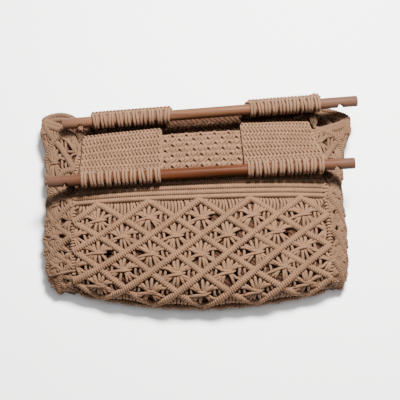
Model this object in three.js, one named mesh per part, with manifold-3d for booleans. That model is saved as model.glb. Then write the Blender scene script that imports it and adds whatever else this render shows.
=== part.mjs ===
// Knotted cord handbag with two wooden dowel handles, lying on its back.
// Millimetres. X runs along the handles, +Y is the side of the mouth, +Z is up from the floor.
// The front panel is on top, the back panel lies on the floor, the side gussets are folded outwards.

import * as THREE from 'three';
import { mergeVertices } from 'three/addons/utils/BufferGeometryUtils.js';
import Module from 'manifold-3d';

const wasm = await Module();
wasm.setup();

// Cord and knotted walls; joinGap keeps pieces that touch apart
const cordDiameter = 3;
const clothWall = 3.6;
const ridgeHeight = 2;
const hubHeight = 1.6;
const joinGap = 0.3;
const seamGap = 2;
const bottomSeamGap = 1.5;

// Bag as it lies
const bagWidth = 284;
const bagHeight = 216;
const bagDepth = 52;
const yokeLength = 63;
const bandLength = 24.5;
const bandRidges = 4;
const bandColumns = 10;
const rimTilt = 0.034;
const rimSag = 3.5;
const rimBulge = 3;
const rimNarrow = 0.045;
const bottomBow = 19;
const bottomTilt = -3;
const crownDrop = 0.2;
const bottomShare = 0.55;

// Diamonds of the nets, counted in half diamonds
const netSides = 5;
const netRows = 6;
const gussetRows = 10;
const gussetReachLeft = 29;
const gussetReachRight = 17;
const earReach = 48;
const earRiseLeft = 30;
const earRiseRight = 5;
const earShare = 0.5;
const foldRoundness = 1.7;
const earRoundness = 5;

// Back panel: how far its mouth end lies beyond the front's, and how high it curls
const backOverlap = 20;
const backCurl = 15;
const backCurlShare = 0.78;
const backCurlEase = 1.6;

// Handles
const dowelDiameter = 12.7;
const dowelLength = 344;
const dowelBevel = 0.8;
const notchWidth = 6;
const notchDepth = 4;
const notchInset = 20;
const loopPairs = 10;
const loopPitch = 9;
const loopWidth = 5.6;
const loopGap = 0.4;
const strapWall = 4.4;
const strapClearance = 1.5;
const strapCurl = 12;

// How far the front dowel lies below the rim, how far the back one stands above its own rim,
// how far each is shifted along X from the bag's middle, and its turn about Z in degrees
const frontDowelDrop = 60.5;
const backDowelRise = 30;
const frontDowelShift = 3;
const backDowelShift = 16;
const frontDowelTurn = 1.8;
const backDowelTurn = 2.95;

// Each strap's middle at its loops and at the rim as shares of the bag's half width, its loop pitch as
// a share of loopPitch, its width at the rim as a share of that at the loops, and its share of strapCurl
const straps = [
  { face: 'front', side: 'left', loops: -0.616, rim: -0.62, pitch: 1.01, rimWidth: 0.99, curl: 0 },
  { face: 'front', side: 'right', loops: 0.683, rim: 0.641, pitch: 0.98, rimWidth: 0.9, curl: 0 },
  { face: 'back', side: 'left', loops: -0.535, rim: -0.563, pitch: 1.03, rimWidth: 0.96, curl: 1 },
  { face: 'back', side: 'right', loops: 0.725, rim: 0.634, pitch: 0.93, rimWidth: 0.98, curl: 0.5 },
];

// The back straps between rim and dowel: share of the way in X, share of the rise, and shares of
// strapWall behind their furthest reach
const backStrapBends = [
  { along: 0.25, rise: 0.2, back: 0.45 },
  { along: 0.5, rise: 0.57, back: 0 },
  { along: 0.8, rise: 0.87, back: 0.68 },
];

// Frayed ends: length and thickness
const tuftLength = 15;
const tuftRadius = 4.2;
const looseEndLength = 25;

// The front from rim to bottom: shares of bagHeight from the bottom, and of bagDepth above the floor
const frontProfile = [
  { along: 0.929, height: 0.72 },
  { along: 0.881, height: 0.82 },
  { along: 0.781, height: 0.90 },
  { along: 0.656, height: 0.96 },
  { along: 0.476, height: 1.00 },
  { along: 0.295, height: 0.97 },
  { along: 0.156, height: 0.88 },
  { along: 0.078, height: 0.75 },
  { along: 0.034, height: 0.56 },
  { along: 0.018, height: 0.34 },
];

// How far the gussets stand out from mouth to bottom: shares of their reach, and of the ear's
const gussetProfile = [
  { along: 0.00, reach: 0.10, ear: 0.84 },
  { along: 0.07, reach: 0.30, ear: 0.74 },
  { along: 0.14, reach: 0.62, ear: 0.38 },
  { along: 0.22, reach: 0.90, ear: 0.13 },
  { along: 0.35, reach: 0.98, ear: 0.00 },
  { along: 0.60, reach: 1.05, ear: 0.00 },
  { along: 0.85, reach: 0.92, ear: 0.00 },
  { along: 1.00, reach: 0.52, ear: 0.00 },
];

const cotton = { color: 0xc4a58a, roughness: 0.95, metalness: 0 };
const shadedCotton = { color: 0xae8f76, roughness: 0.95, metalness: 0 };
const wood = { color: 0x9a6444, roughness: 0.42, metalness: 0 };

const bag = new THREE.Group();
bag.name = 'handbag';

const halfWall = clothWall / 2;
const halfWidth = bagWidth / 2;
const bottomY = -bagHeight * bottomShare;
const floorLift = halfWall + ridgeHeight;
const frontCurve = new THREE.CatmullRomCurve3(frontProfile.map(
  (row) => new THREE.Vector3(0, bottomY + row.along * bagHeight, row.height * bagDepth)));
const frontLength = frontCurve.getLength();
const netLength = frontLength - yokeLength - bandLength - 2 * joinGap;
const bandStart = yokeLength + joinGap;
const netStart = bandStart + bandLength + joinGap;

// Short step along a surface that gives its slope
const probe = cordDiameter / 6;

function addMesh(name, geometry, finish) {
  const mesh = new THREE.Mesh(geometry, new THREE.MeshStandardMaterial(finish));
  mesh.name = name;
  bag.add(mesh);
}

function smoothStep(from, to, value) {
  return THREE.MathUtils.smoothstep(value, from, to);
}

// Reads one column of a table at a share between its rows
function tableValue(table, column, share) {
  const inside = THREE.MathUtils.clamp(share, 0, 1);
  const next = Math.max(1, table.findIndex((row) => row.along >= inside));
  const low = table[next - 1];
  const high = table[next];
  const mix = (inside - low.along) / (high.along - low.along);
  return THREE.MathUtils.lerp(low[column], high[column], mix);
}

// Point of the front's middle surface: u across from the middle, v down from the rim
function frontBase(u, v) {
  const share = THREE.MathUtils.clamp(v / frontLength, 0, 1);
  const middle = frontCurve.getPointAt(share);
  const side = u / halfWidth;
  const towardsRim = 1 - smoothStep(0, yokeLength, v);
  const towardsBottom = smoothStep(netStart, frontLength, v);
  const sag = rimSag * towardsRim * towardsRim * Math.cos(Math.min(1, Math.abs(side) * 2) * Math.PI / 2);
  const bulge = rimBulge * towardsRim * Math.max(0, 1 - 4 * side * side);
  const x = u * (1 - rimNarrow * towardsRim);
  const bow = (bottomBow * side + bottomTilt) * side * towardsBottom;
  const y = middle.y + bulge + rimTilt * u * towardsRim + bow;
  const z = middle.z * (1 - crownDrop * Math.abs(side) ** 3) - sag;
  return new THREE.Vector3(x, y + (v < 0 ? -v : 0), z);
}

// Point of the back's middle surface, which lies on the floor and curls up at its rim
function backBase(u, v) {
  const front = frontBase(u, v);
  const share = 1 - v / frontLength;
  const y = front.y + (backOverlap + rimTilt * u) * Math.max(0, share) * (1 - smoothStep(0, frontLength, v));
  const curl = backCurl * (1 - smoothStep(0, yokeLength * backCurlShare, v)) ** backCurlEase;
  return new THREE.Vector3(front.x, y, floorLift + curl);
}

// A surface with thickness: lift is measured along its outward side
function lifted(base, outward) {
  return (u, v, lift) => {
    const across = base(u + probe, v).sub(base(u - probe, v));
    const down = base(u, v + probe).sub(base(u, v - probe));
    const normal = down.cross(across).normalize().multiplyScalar(outward * lift);
    return base(u, v).add(normal);
  };
}

const onFront = lifted(frontBase, 1);
const onBack = lifted(backBase, -1);

function pointKey(point) {
  return `${point.u.toFixed(4)},${point.v.toFixed(4)}`;
}

function turned(triangle) {
  const [a, b, c] = triangle;
  const area = (b.u - a.u) * (c.v - a.v) - (b.v - a.v) * (c.u - a.u);
  return area > 0 ? triangle : [a, c, b];
}

// Closes an outer and an inner skin with walls along the rims and gaps that they share
function closedSheet(place, outer, inner, innerLift) {
  const positions = [];
  const push = (point, lift) => positions.push(...place(point.u, point.v, lift).toArray());
  const edges = new Map();
  for (const triangle of outer.map(turned)) {
    triangle.forEach((point) => push(point, point.lift));
    triangle.forEach((point, k) => {
      const next = triangle[(k + 1) % 3];
      const back = `${pointKey(next)}|${pointKey(point)}`;
      if (!edges.delete(back)) edges.set(`${pointKey(point)}|${pointKey(next)}`, [point, next]);
    });
  }
  for (const [a, b, c] of inner.map(turned)) {
    [a, c, b].forEach((point) => push(point, innerLift));
  }
  for (const [a, b] of edges.values()) {
    push(b, b.lift);
    push(a, a.lift);
    push(a, innerLift);
    push(b, b.lift);
    push(a, innerLift);
    push(b, innerLift);
  }
  return solidGeometry(positions);
}

// Merges the corners and turns all faces outwards
function solidGeometry(positions) {
  const loose = new THREE.BufferGeometry();
  loose.setAttribute('position', new THREE.Float32BufferAttribute(positions, 3));
  const geometry = mergeVertices(loose, 1e-3);
  if (signedVolume(geometry) < 0) geometry.index.array.reverse();
  geometry.computeVertexNormals();
  return geometry;
}

function signedVolume(geometry) {
  const { position } = geometry.attributes;
  const corner = [0, 1, 2].map(() => new THREE.Vector3());
  let volume = 0;
  for (let k = 0; k < geometry.index.count; k += 3) {
    corner.forEach((point, n) => point.fromBufferAttribute(position, geometry.index.getX(k + n)));
    volume += corner[0].dot(corner[1].cross(corner[2])) / 6;
  }
  return volume;
}

// Even grid of triangles; lift may be a number or a function of the row and column
function gridTriangles(us, vs, lift) {
  const at = (i, j) => ({ u: us[i], v: vs[j], lift: typeof lift === 'function' ? lift(i, j) : lift });
  const triangles = [];
  for (let i = 0; i + 1 < us.length; i++) {
    for (let j = 0; j + 1 < vs.length; j++) {
      triangles.push([at(i, j), at(i + 1, j), at(i + 1, j + 1)], [at(i, j), at(i + 1, j + 1), at(i, j + 1)]);
    }
  }
  return triangles;
}

function steps(from, to, count) {
  return Array.from({ length: count + 1 }, (_, k) => from + (to - from) * k / count);
}

// Triangles of a flat outline with holes, each corner keeping its own lift
function filled(outline, holes) {
  const flat = (points) => points.map((point) => new THREE.Vector2(point.u, point.v));
  const all = [outline, ...holes].flat();
  return THREE.ShapeUtils.triangulateShape(flat(outline), holes.map(flat))
    .map((corners) => corners.map((k) => all[k]));
}

// Corners of one knotted diamond, as shares of its half width and half height
const ridgeFoot = 0.78;
const hubReach = [[0, -0.3], [0.13, 0], [0, 0.3], [-0.13, 0]];
const gapCorners = [[0.19, 0], [0.3, -0.25], [0.47, 0], [0.3, 0.25]];

// One diamond: ridge along its sides, raised star in the middle, open gaps beside it
function diamond(cell, gapSides) {
  const point = ([a, b], lift) => ({
    u: cell.u + a * cell.halfWide,
    v: cell.v + b * cell.halfHigh,
    lift,
  });
  const sides = [[0, -1], [1, 0], [0, 1], [-1, 0]];
  const crest = sides.map((corner) => point(corner, halfWall + ridgeHeight));
  const foot = sides.map(([a, b]) => point([a * ridgeFoot, b * ridgeFoot], halfWall));
  const hub = hubReach.map((corner) => point(corner, halfWall));
  const top = point([0, 0], halfWall + hubHeight);
  const gaps = gapSides.map((side) => gapCorners.map(([a, b]) => point([a * side, b * side], halfWall)));
  const outer = filled(foot, [hub, ...gaps]);
  for (let k = 0; k < 4; k++) {
    const next = (k + 1) % 4;
    outer.push([crest[k], crest[next], foot[next]], [crest[k], foot[next], foot[k]]);
    outer.push([hub[k], hub[next], top]);
  }
  return { outer, inner: filled(crest, gaps) };
}

// Part of a diamond that a border cuts off: three corners, with the ridge on them
function halfDiamond(corners) {
  const crest = corners.map(([u, v]) => ({ u, v, lift: halfWall + ridgeHeight }));
  const middle = { u: 0, v: 0 };
  crest.forEach((corner) => {
    middle.u += corner.u / 3;
    middle.v += corner.v / 3;
  });
  const foot = crest.map((corner) => ({
    u: THREE.MathUtils.lerp(middle.u, corner.u, 0.6),
    v: THREE.MathUtils.lerp(middle.v, corner.v, 0.6),
    lift: halfWall,
  }));
  const outer = [[foot[0], foot[1], foot[2]]];
  for (let k = 0; k < 3; k++) {
    const next = (k + 1) % 3;
    outer.push([crest[k], crest[next], foot[next]], [crest[k], foot[next], foot[k]]);
  }
  return { outer, inner: [crest] };
}

// A net of diamonds that fills a strip: sides half diamonds each way from the middle, rows down
function diamondNet(place, sides, rows, halfWide, halfHigh, vStart, gapSidesAt) {
  const outer = [];
  const inner = [];
  const add = (piece) => {
    outer.push(...piece.outer);
    inner.push(...piece.inner);
  };
  const at = (i, j) => [i * halfWide, vStart + j * halfHigh];
  for (let j = 0; j <= rows; j++) {
    for (let i = -sides; i <= sides; i++) {
      if ((i + j) % 2 === 0) continue;
      const edge = Math.abs(i) === sides ? Math.sign(i) : 0;
      const end = j === 0 ? -1 : j === rows ? 1 : 0;
      if (edge && end) add(halfDiamond([at(i - edge, j), at(i, j), at(i, j - end)]));
      else if (edge) add(halfDiamond([at(i, j - 1), at(i, j + 1), at(i - edge, j)]));
      else if (end) add(halfDiamond([at(i - 1, j), at(i + 1, j), at(i, j - end)]));
      else {
        const cell = { u: i * halfWide, v: vStart + j * halfHigh, halfWide, halfHigh };
        add(diamond(cell, gapSidesAt(i, j)));
      }
    }
  }
  return closedSheet(place, outer, inner, -halfWall);
}

// Yoke, band and net of one face
function addPanel(side, place, pressed) {
  const us = steps(-halfWidth, halfWidth, bandColumns);
  const yokeRows = steps(0, yokeLength, 6);
  const yokeOuter = gridTriangles(us, yokeRows, halfWall + ridgeHeight / 2);
  const yokeInner = gridTriangles(us, yokeRows, 0);
  addMesh(`${side}_yoke`, closedSheet(place, yokeOuter, yokeInner, -halfWall), cotton);

  const bandRows = steps(bandStart, bandStart + bandLength, pressed ? 1 : bandRidges * 2);
  const ridgeLift = (i, j) => halfWall + (pressed || j % 2 ? ridgeHeight : 0);
  const bandOuter = gridTriangles(us, bandRows, ridgeLift);
  const bandInner = gridTriangles(us, bandRows, 0);
  addMesh(`${side}_band`, closedSheet(place, bandOuter, bandInner, -halfWall), cotton);

  const halfWide = halfWidth / netSides;
  const halfHigh = netLength / netRows;
  const net = diamondNet(place, netSides, netRows, halfWide, halfHigh, netStart, () => [-1, 1]);
  addMesh(`${side}_net`, net, cotton);
}

// Gusset: s runs from the back seam (-1) over the fold (0) to the front seam (1)
function gussetPlace(side, reach, earRise) {
  const width = 2 * bagDepth;
  const base = (u, v) => {
    const s = THREE.MathUtils.clamp(u / (width / 2), -1.02, 1.02);
    const share = v / frontLength;
    const front = frontBase(side * (halfWidth + seamGap), v);
    const back = backBase(side * (halfWidth + seamGap), v);
    const out = tableValue(gussetProfile, 'reach', share) * reach
      + tableValue(gussetProfile, 'ear', share) * earReach;
    const seam = new THREE.Vector3().lerpVectors(back, front, (s + 1) / 2);
    const bulge = 1 - Math.abs(s) ** foldRoundness;
    const rise = earRise * (1 - Math.abs(s) ** earRoundness) * (1 - smoothStep(0, earShare, share));
    return seam.add(new THREE.Vector3(side * out * bulge, rise, 0));
  };
  return lifted(base, -side);
}

function addGusset(name, side, reach, earRise) {
  const halfWide = bagDepth / 2;
  const halfHigh = frontLength / gussetRows;
  const gapSides = (i) => (i === 0 ? [] : [-Math.sign(i)]);
  const place = gussetPlace(side, reach, earRise);
  addMesh(name, diamondNet(place, 2, gussetRows, halfWide, halfHigh, 0, gapSides), shadedCotton);
}

// A closed body through rings of equal count, with a fan at each end
function loft(rings) {
  const positions = [];
  const push = (...points) => points.forEach((point) => positions.push(...point.toArray()));
  const middle = (ring) => ring.reduce((sum, point) => sum.add(point), new THREE.Vector3())
    .divideScalar(ring.length);
  rings.slice(1).forEach((ring, n) => {
    ring.forEach((point, k) => {
      const next = (k + 1) % ring.length;
      push(rings[n][k], rings[n][next], ring[next], rings[n][k], ring[next], point);
    });
  });
  const ends = [[rings[0], true], [rings[rings.length - 1], false]];
  for (const [ring, first] of ends) {
    const centre = middle(ring);
    ring.forEach((point, k) => {
      const next = ring[(k + 1) % ring.length];
      if (first) push(next, point, centre);
      else push(point, next, centre);
    });
  }
  return solidGeometry(positions);
}

// Ring of points round a centre, in the plane of two directions
function ringAt(centre, first, second, radius, sides, flute) {
  return Array.from({ length: sides }, (_, k) => {
    const angle = 2 * Math.PI * k / sides;
    const size = radius * (k % 2 ? 1 : flute);
    return centre.clone()
      .addScaledVector(first, Math.cos(angle) * size)
      .addScaledVector(second, Math.sin(angle) * size);
  });
}

// The row of knots along the bottom, between the ends of front and back
const seamKnots = 13;
const seamRadius = 4.6;
const seamWaist = 0.75;
const seamWidthShare = 0.96;
function addBottomSeam() {
  const rings = [];
  const stations = seamKnots * 2;
  for (let k = 0; k <= stations; k++) {
    const u = THREE.MathUtils.lerp(-1, 1, k / stations) * halfWidth * seamWidthShare;
    const end = frontBase(u, frontLength);
    const down = end.clone().sub(frontBase(u, frontLength - cordDiameter)).setX(0).normalize();
    const centre = end.addScaledVector(down, seamRadius + bottomSeamGap);
    centre.z = Math.max(centre.z, floorLift + halfWall + joinGap + seamRadius);
    const radius = seamRadius * (k % 2 ? 1 : seamWaist);
    rings.push(ringAt(centre, new THREE.Vector3(0, 1, 0), new THREE.Vector3(0, 0, 1), radius, 6, 1));
  }
  addMesh('bottom_seam', loft(rings), cotton);
}

function asManifold(geometry) {
  const bare = geometry.clone();
  bare.deleteAttribute('normal');
  bare.deleteAttribute('uv');
  const merged = mergeVertices(bare, 1e-4);
  return new wasm.Manifold(new wasm.Mesh({
    numProp: 3,
    vertProperties: new Float32Array(merged.attributes.position.array),
    triVerts: new Uint32Array(merged.index.array),
  }));
}

function asGeometry(solid) {
  const mesh = solid.getMesh();
  const geometry = new THREE.BufferGeometry();
  geometry.setAttribute('position', new THREE.BufferAttribute(new Float32Array(mesh.vertProperties), 3));
  geometry.setIndex(new THREE.BufferAttribute(new Uint32Array(mesh.triVerts), 1));
  geometry.computeVertexNormals();
  return geometry;
}

// Inner and outer radius of the loops, and the radius at which a strap meets its dowel
const loopSegments = 8;
const loopInner = (dowelDiameter / 2 + loopGap) / Math.cos(Math.PI / loopSegments);
const loopOuter = loopInner + cordDiameter * 0.9;
const loopHold = dowelDiameter / 2 + loopGap + cordDiameter / 2;

// Where each dowel lies: the front one's loops rest on the yoke, the back one is over the back's rim
const frontRest = onFront(0, frontDowelDrop, halfWall + ridgeHeight / 2 + joinGap + loopOuter);
const backRim = backBase(0, 0);
const handles = {
  front: { x: frontDowelShift, y: frontRest.y, z: frontRest.z, turn: frontDowelTurn },
  back: { x: backDowelShift, y: backRim.y, z: backRim.z + backDowelRise, turn: backDowelTurn },
};

// Axis of a dowel: point at a given X
function dowelAxis(handle, x) {
  const slope = Math.tan(THREE.MathUtils.degToRad(handle.turn));
  return new THREE.Vector3(x, handle.y + (x - handle.x) * slope, handle.z);
}

// Round dowel with bevelled ends and a round notch near each end, on the side away from the mouth
const dowelSides = 16;
const notchSides = 12;
function addDowel(name, handle) {
  const radius = dowelDiameter / 2;
  const half = dowelLength / 2;
  const outline = [
    [0, -half], [radius - dowelBevel, -half], [radius, -half + dowelBevel],
    [radius, half - dowelBevel], [radius - dowelBevel, half], [0, half],
  ];
  const profile = outline.map(([r, y]) => new THREE.Vector2(r, y));
  let solid = asManifold(new THREE.LatheGeometry(profile, dowelSides));
  for (const end of [-1, 1]) {
    const cutter = new THREE.CylinderGeometry(notchWidth / 2, notchWidth / 2, dowelDiameter * 2, notchSides);
    cutter.rotateX(Math.PI / 2);
    cutter.translate(radius + notchWidth / 2 - notchDepth, end * (half - notchInset), 0);
    solid = solid.subtract(asManifold(cutter));
  }
  const geometry = asGeometry(solid);
  geometry.rotateZ(-Math.PI / 2);
  geometry.rotateZ(THREE.MathUtils.degToRad(handle.turn));
  geometry.translate(handle.x, handle.y, handle.z);
  addMesh(name, geometry, wood);
}

// One pair of loop strands as a ring round the dowel
const loopCrown = 0.7;
function loopRing(handle, x) {
  const foot = loopWidth / 2;
  const crown = foot * loopCrown;
  const start = [loopInner, -foot];
  const section = [start, [loopOuter, -crown], [loopOuter, crown], [loopInner, foot], start];
  const ring = new THREE.LatheGeometry(section.map(([r, y]) => new THREE.Vector2(r, y)), loopSegments);
  ring.rotateZ(-Math.PI / 2);
  ring.rotateZ(THREE.MathUtils.degToRad(handle.turn));
  ring.translate(...dowelAxis(handle, x).toArray());
  return ring;
}

// A strap's path at one place across it, from the rim to its loops: across is -0.5 to 0.5
function strapAcross(strap, across, share) {
  const width = strap.pitch * loopPitch * loopPairs;
  const atLoops = strap.loops * halfWidth + across * width;
  const atRim = strap.rim * halfWidth + across * width * strap.rimWidth;
  return THREE.MathUtils.lerp(atRim, atLoops, share);
}

function withX(point, x) {
  point.x = x;
  return point;
}

// The front strap folds tightly over the rim and lies on the yoke
function frontStrapPath(strap, across) {
  const above = halfWall + ridgeHeight / 2 + strapClearance + strapWall / 2;
  const rimX = strapAcross(strap, across, 0);
  const rimU = rimX / (1 - rimNarrow);
  const rim = frontBase(rimU, 0);
  const out = rim.clone().sub(frontBase(rimU, cordDiameter)).setX(0).normalize();
  const up = new THREE.Vector3(0, -out.z, out.y);
  const fold = (degrees) => {
    const angle = THREE.MathUtils.degToRad(degrees);
    const radius = above / 2;
    return rim.clone()
      .addScaledVector(out, strapClearance + radius * Math.sin(angle))
      .addScaledVector(up, radius - radius * Math.cos(angle));
  };
  const lying = (v, share) => {
    const x = strapAcross(strap, across, share);
    const narrow = frontBase(1, v).x;
    return withX(onFront(x / narrow, v, above), x);
  };
  const axis = dowelAxis(handles.front, strapAcross(strap, across, 1));
  return new THREE.CatmullRomCurve3([
    fold(0), fold(50), fold(90), fold(130), fold(175),
    lying(yokeLength * 0.12, 0.15),
    lying(yokeLength * 0.36, 0.5),
    axis.clone().add(new THREE.Vector3(0, loopHold * 1.75, -loopHold * 0.8)),
    axis.clone().add(new THREE.Vector3(0, loopHold * 0.92, -loopHold * 0.39)),
  ]);
}

// The back strap stands out beyond the mouth and curls up and forward to its dowel
function backStrapPath(strap, across) {
  const rimX = strapAcross(strap, across, 0);
  const rimU = rimX / (1 - rimNarrow);
  const rim = withX(backBase(rimU, 0), rimX);
  const out = rim.clone().sub(backBase(rimU, cordDiameter)).setX(0).normalize();
  const axis = dowelAxis(handles.back, strapAcross(strap, across, 1));
  const outY = Math.max(rim.y + strap.curl * strapCurl, axis.y + strapWall);
  const leastY = axis.y + loopHold + strapWall / 2;
  const bends = backStrapBends.map((bend, n) => new THREE.Vector3(
    THREE.MathUtils.lerp(rim.x, axis.x, bend.along),
    n < 2 ? outY - bend.back * strapWall : Math.max(outY - bend.back * strapWall, leastY),
    THREE.MathUtils.lerp(rim.z, axis.z, bend.rise),
  ));
  return new THREE.CatmullRomCurve3([
    rim.clone().addScaledVector(out, joinGap * 3),
    rim.clone().addScaledVector(out, strapWall),
    ...bends,
    axis.clone().add(new THREE.Vector3(0, loopHold + joinGap, 0)),
  ]);
}

// Dense strap panel with its ten pairs of loops, one knotted piece; shares are closer at the fold
const strapShares = [0, 0.04, 0.08, 0.12, 0.17, 0.25, 0.4, 0.55, 0.7, 0.82, 0.91, 1];
function addStrap(strap) {
  const path = strap.face === 'front' ? frontStrapPath : backStrapPath;
  const place = (u, v, lift) => {
    const curve = path(strap, u);
    const point = curve.getPointAt(v);
    const along = curve.getTangentAt(v);
    return point.add(new THREE.Vector3(0, -along.z, along.y).normalize().multiplyScalar(lift));
  };
  const skin = gridTriangles(steps(-0.5, 0.5, 3), strapShares, strapWall / 2);
  let solid = asManifold(closedSheet(place, skin, skin, -strapWall / 2));
  for (let k = 0; k < loopPairs; k++) {
    const across = (k + 0.5) / loopPairs - 0.5;
    solid = solid.add(asManifold(loopRing(handles[strap.face], strapAcross(strap, across, 1))));
  }
  addMesh(`${strap.face}_strap_${strap.side}`, asGeometry(solid), cotton);
}

// Frayed cord end: strands that spread from a narrow head
const tuftStations = [[0, 0.45], [0.3, 0.8], [0.75, 1], [1, 0.7]];
const tuftSides = 10;
const tuftFlute = 0.72;
function tuft(start, direction, length, radius) {
  const along = direction.clone().normalize();
  const first = new THREE.Vector3(0, 0, 1).cross(along).normalize();
  const second = along.clone().cross(first);
  return loft(tuftStations.map(([share, size]) => {
    const centre = start.clone().addScaledVector(along, share * length);
    return ringAt(centre, first, second, radius * size, tuftSides, tuftFlute);
  }));
}

// A tuft on the side seam: v down from the rim, moved by a small offset until it rests on the gusset
function addTuft(name, side, v, offset, direction) {
  const foot = onFront(side * halfWidth, v, halfWall + ridgeHeight + tuftRadius);
  foot.add(new THREE.Vector3(...offset));
  addMesh(name, tuft(foot, new THREE.Vector3(...direction), tuftLength, tuftRadius), cotton);
}

addPanel('front', onFront, false);
addPanel('back', onBack, true);
addGusset('left_gusset', -1, gussetReachLeft, earRiseLeft);
addGusset('right_gusset', 1, gussetReachRight, earRiseRight);
addBottomSeam();
addDowel('front_dowel', handles.front);
addDowel('back_dowel', handles.back);
straps.forEach(addStrap);
addTuft('mouth_tuft_left', -1, 3, [-2, 1, -2.5], [0.1, 0.98, -0.05]);
addTuft('mouth_tuft_right', 1, 4, [1, 1, -3], [-0.1, 0.95, -0.15]);
addTuft('band_tuft_left', -1, bandStart - 3, [0, 0, -0.5], [-0.1, -0.9, 0]);
addTuft('band_tuft_right', 1, bandStart - 8, [-1, 0, -1], [0.5, -0.8, 0]);

// One cord end that lies loose on the left seam
const looseRadius = cordDiameter * 0.7;
const looseLift = halfWall + ridgeHeight + looseRadius * 0.6;
const looseStart = onFront(-halfWidth, netStart + netLength * 0.72, looseLift);
const looseEnd = tuft(looseStart, new THREE.Vector3(-1, -0.08, -0.42), looseEndLength, looseRadius);
addMesh('loose_end', looseEnd, cotton);

// The origin is on the floor under the middle of the whole bag
bag.updateMatrixWorld(true);
const bounds = new THREE.Box3().setFromObject(bag, true);
const centre = bounds.getCenter(new THREE.Vector3());
bag.position.set(-centre.x, -centre.y, -bounds.min.z);

export default bag;
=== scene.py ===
"""Knotted cord handbag with two wooden dowel handles, lying on its back: cords, wood, floor, light, camera."""

import math
from typing import Callable, NamedTuple

import bpy
import numpy as np
from bpy.props import FloatProperty, FloatVectorProperty, IntProperty, PointerProperty
from mathutils import Matrix, Vector


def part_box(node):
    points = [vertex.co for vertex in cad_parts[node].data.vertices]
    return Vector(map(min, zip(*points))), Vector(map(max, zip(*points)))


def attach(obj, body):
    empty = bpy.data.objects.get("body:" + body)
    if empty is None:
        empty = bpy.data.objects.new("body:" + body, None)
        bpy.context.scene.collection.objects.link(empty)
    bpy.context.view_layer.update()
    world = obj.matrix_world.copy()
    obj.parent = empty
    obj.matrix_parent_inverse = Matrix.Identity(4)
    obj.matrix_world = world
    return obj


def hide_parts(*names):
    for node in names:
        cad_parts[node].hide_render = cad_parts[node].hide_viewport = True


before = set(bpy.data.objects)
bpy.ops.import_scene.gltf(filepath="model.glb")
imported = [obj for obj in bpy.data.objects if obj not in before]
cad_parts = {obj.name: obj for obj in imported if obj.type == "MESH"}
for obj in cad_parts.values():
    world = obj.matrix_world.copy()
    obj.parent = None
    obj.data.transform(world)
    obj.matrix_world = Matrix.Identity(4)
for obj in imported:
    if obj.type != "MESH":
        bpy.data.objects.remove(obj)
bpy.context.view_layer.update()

bl_info = {
    "name": "Knotted cord handbag",
    "version": (1, 0, 0),
    "blender": (4, 5, 0),
    "location": "View3D > Sidebar > Handbag",
    "description": "Knots a cotton cord handbag round its model and dresses its dowel handles",
    "category": "Object",
}

MM = 0.001
BODY = "root"
SIDES = {"left": -1, "right": 1}

# The bag as it lies, as in its model
CLOTH_WALL = 3.6 * MM
RIDGE_HEIGHT = 2 * MM
JOIN_GAP = 0.3 * MM
SEAM_GAP = 2 * MM
BOTTOM_SEAM_GAP = 1.5 * MM
BAG_WIDTH = 284 * MM
BAG_HEIGHT = 216 * MM
BAG_DEPTH = 52 * MM
YOKE_LENGTH = 63 * MM
BAND_LENGTH = 24.5 * MM
BAND_RIDGES = 4
RIM_TILT = 0.034
RIM_SAG = 3.5 * MM
RIM_BULGE = 3 * MM
RIM_NARROW = 0.045
BOTTOM_BOW = 19 * MM
BOTTOM_TILT = -3 * MM
CROWN_DROP = 0.2
BOTTOM_SHARE = 0.55
BACK_OVERLAP = 20 * MM
BACK_CURL = 15 * MM
BACK_CURL_SHARE = 0.78
BACK_CURL_EASE = 1.6
NET_SIDES = 5
NET_ROWS = 6
GUSSET_SIDES = 2
GUSSET_ROWS = 10
GUSSET_REACH = {"left": 29 * MM, "right": 17 * MM}
EAR_REACH = 48 * MM
EAR_RISE = {"left": 22 * MM, "right": -1 * MM}
CORNER_RISE = {"left": 16 * MM, "right": 12 * MM}
CORNER_SHARE = 0.86
EAR_SHARE = 0.5
EAR_ROUNDNESS = 5
FOLD_ROUNDNESS = 1.7
SEAM_KNOTS = 13
SEAM_RADIUS = 4.6 * MM
SEAM_WAIST = 0.75
SEAM_WIDTH_SHARE = 0.96

# Handles and straps, as in the model
DOWEL_DIAMETER = 12.7 * MM
DOWEL_LENGTH = 344 * MM
DOWEL_BEVEL = 0.8 * MM
NOTCH_WIDTH = 6 * MM
NOTCH_DEPTH = 4 * MM
NOTCH_INSET = 20 * MM
DOWEL_SHIFT = {"front": 3 * MM, "back": 16 * MM}
DOWEL_TURN = {"front": 1.8, "back": 2.95}
LOOP_PAIRS = 10
LOOP_PITCH = 9 * MM
STRAP_WALL = 4.4 * MM
STRAP_CLEARANCE = 1.5 * MM
STRAP_CURL = 12 * MM


class Strap(NamedTuple):
    """A strap's middle at the loops and at the rim in half widths, its loops' pitch, its rim's width, its curl."""

    face: str
    side: str
    loops: float
    rim: float
    pitch: float
    rim_width: float
    curl: float = 0


STRAPS = [
    Strap("front", "left", loops=-0.616, rim=-0.62, pitch=1.01, rim_width=0.99),
    Strap("front", "right", loops=0.683, rim=0.641, pitch=0.98, rim_width=0.9),
    Strap("back", "left", loops=-0.535, rim=-0.563, pitch=1.03, rim_width=0.96, curl=1),
    Strap("back", "right", loops=0.725, rim=0.634, pitch=0.93, rim_width=0.98, curl=0.5),
]

# The front from rim to bottom: share of the height from the bottom, share of the depth above the floor
FRONT_PROFILE = [
    (0.929, 0.72), (0.881, 0.82), (0.781, 0.90), (0.656, 0.96), (0.476, 1.00),
    (0.295, 0.97), (0.156, 0.88), (0.078, 0.75), (0.034, 0.56), (0.018, 0.34),
]
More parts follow.
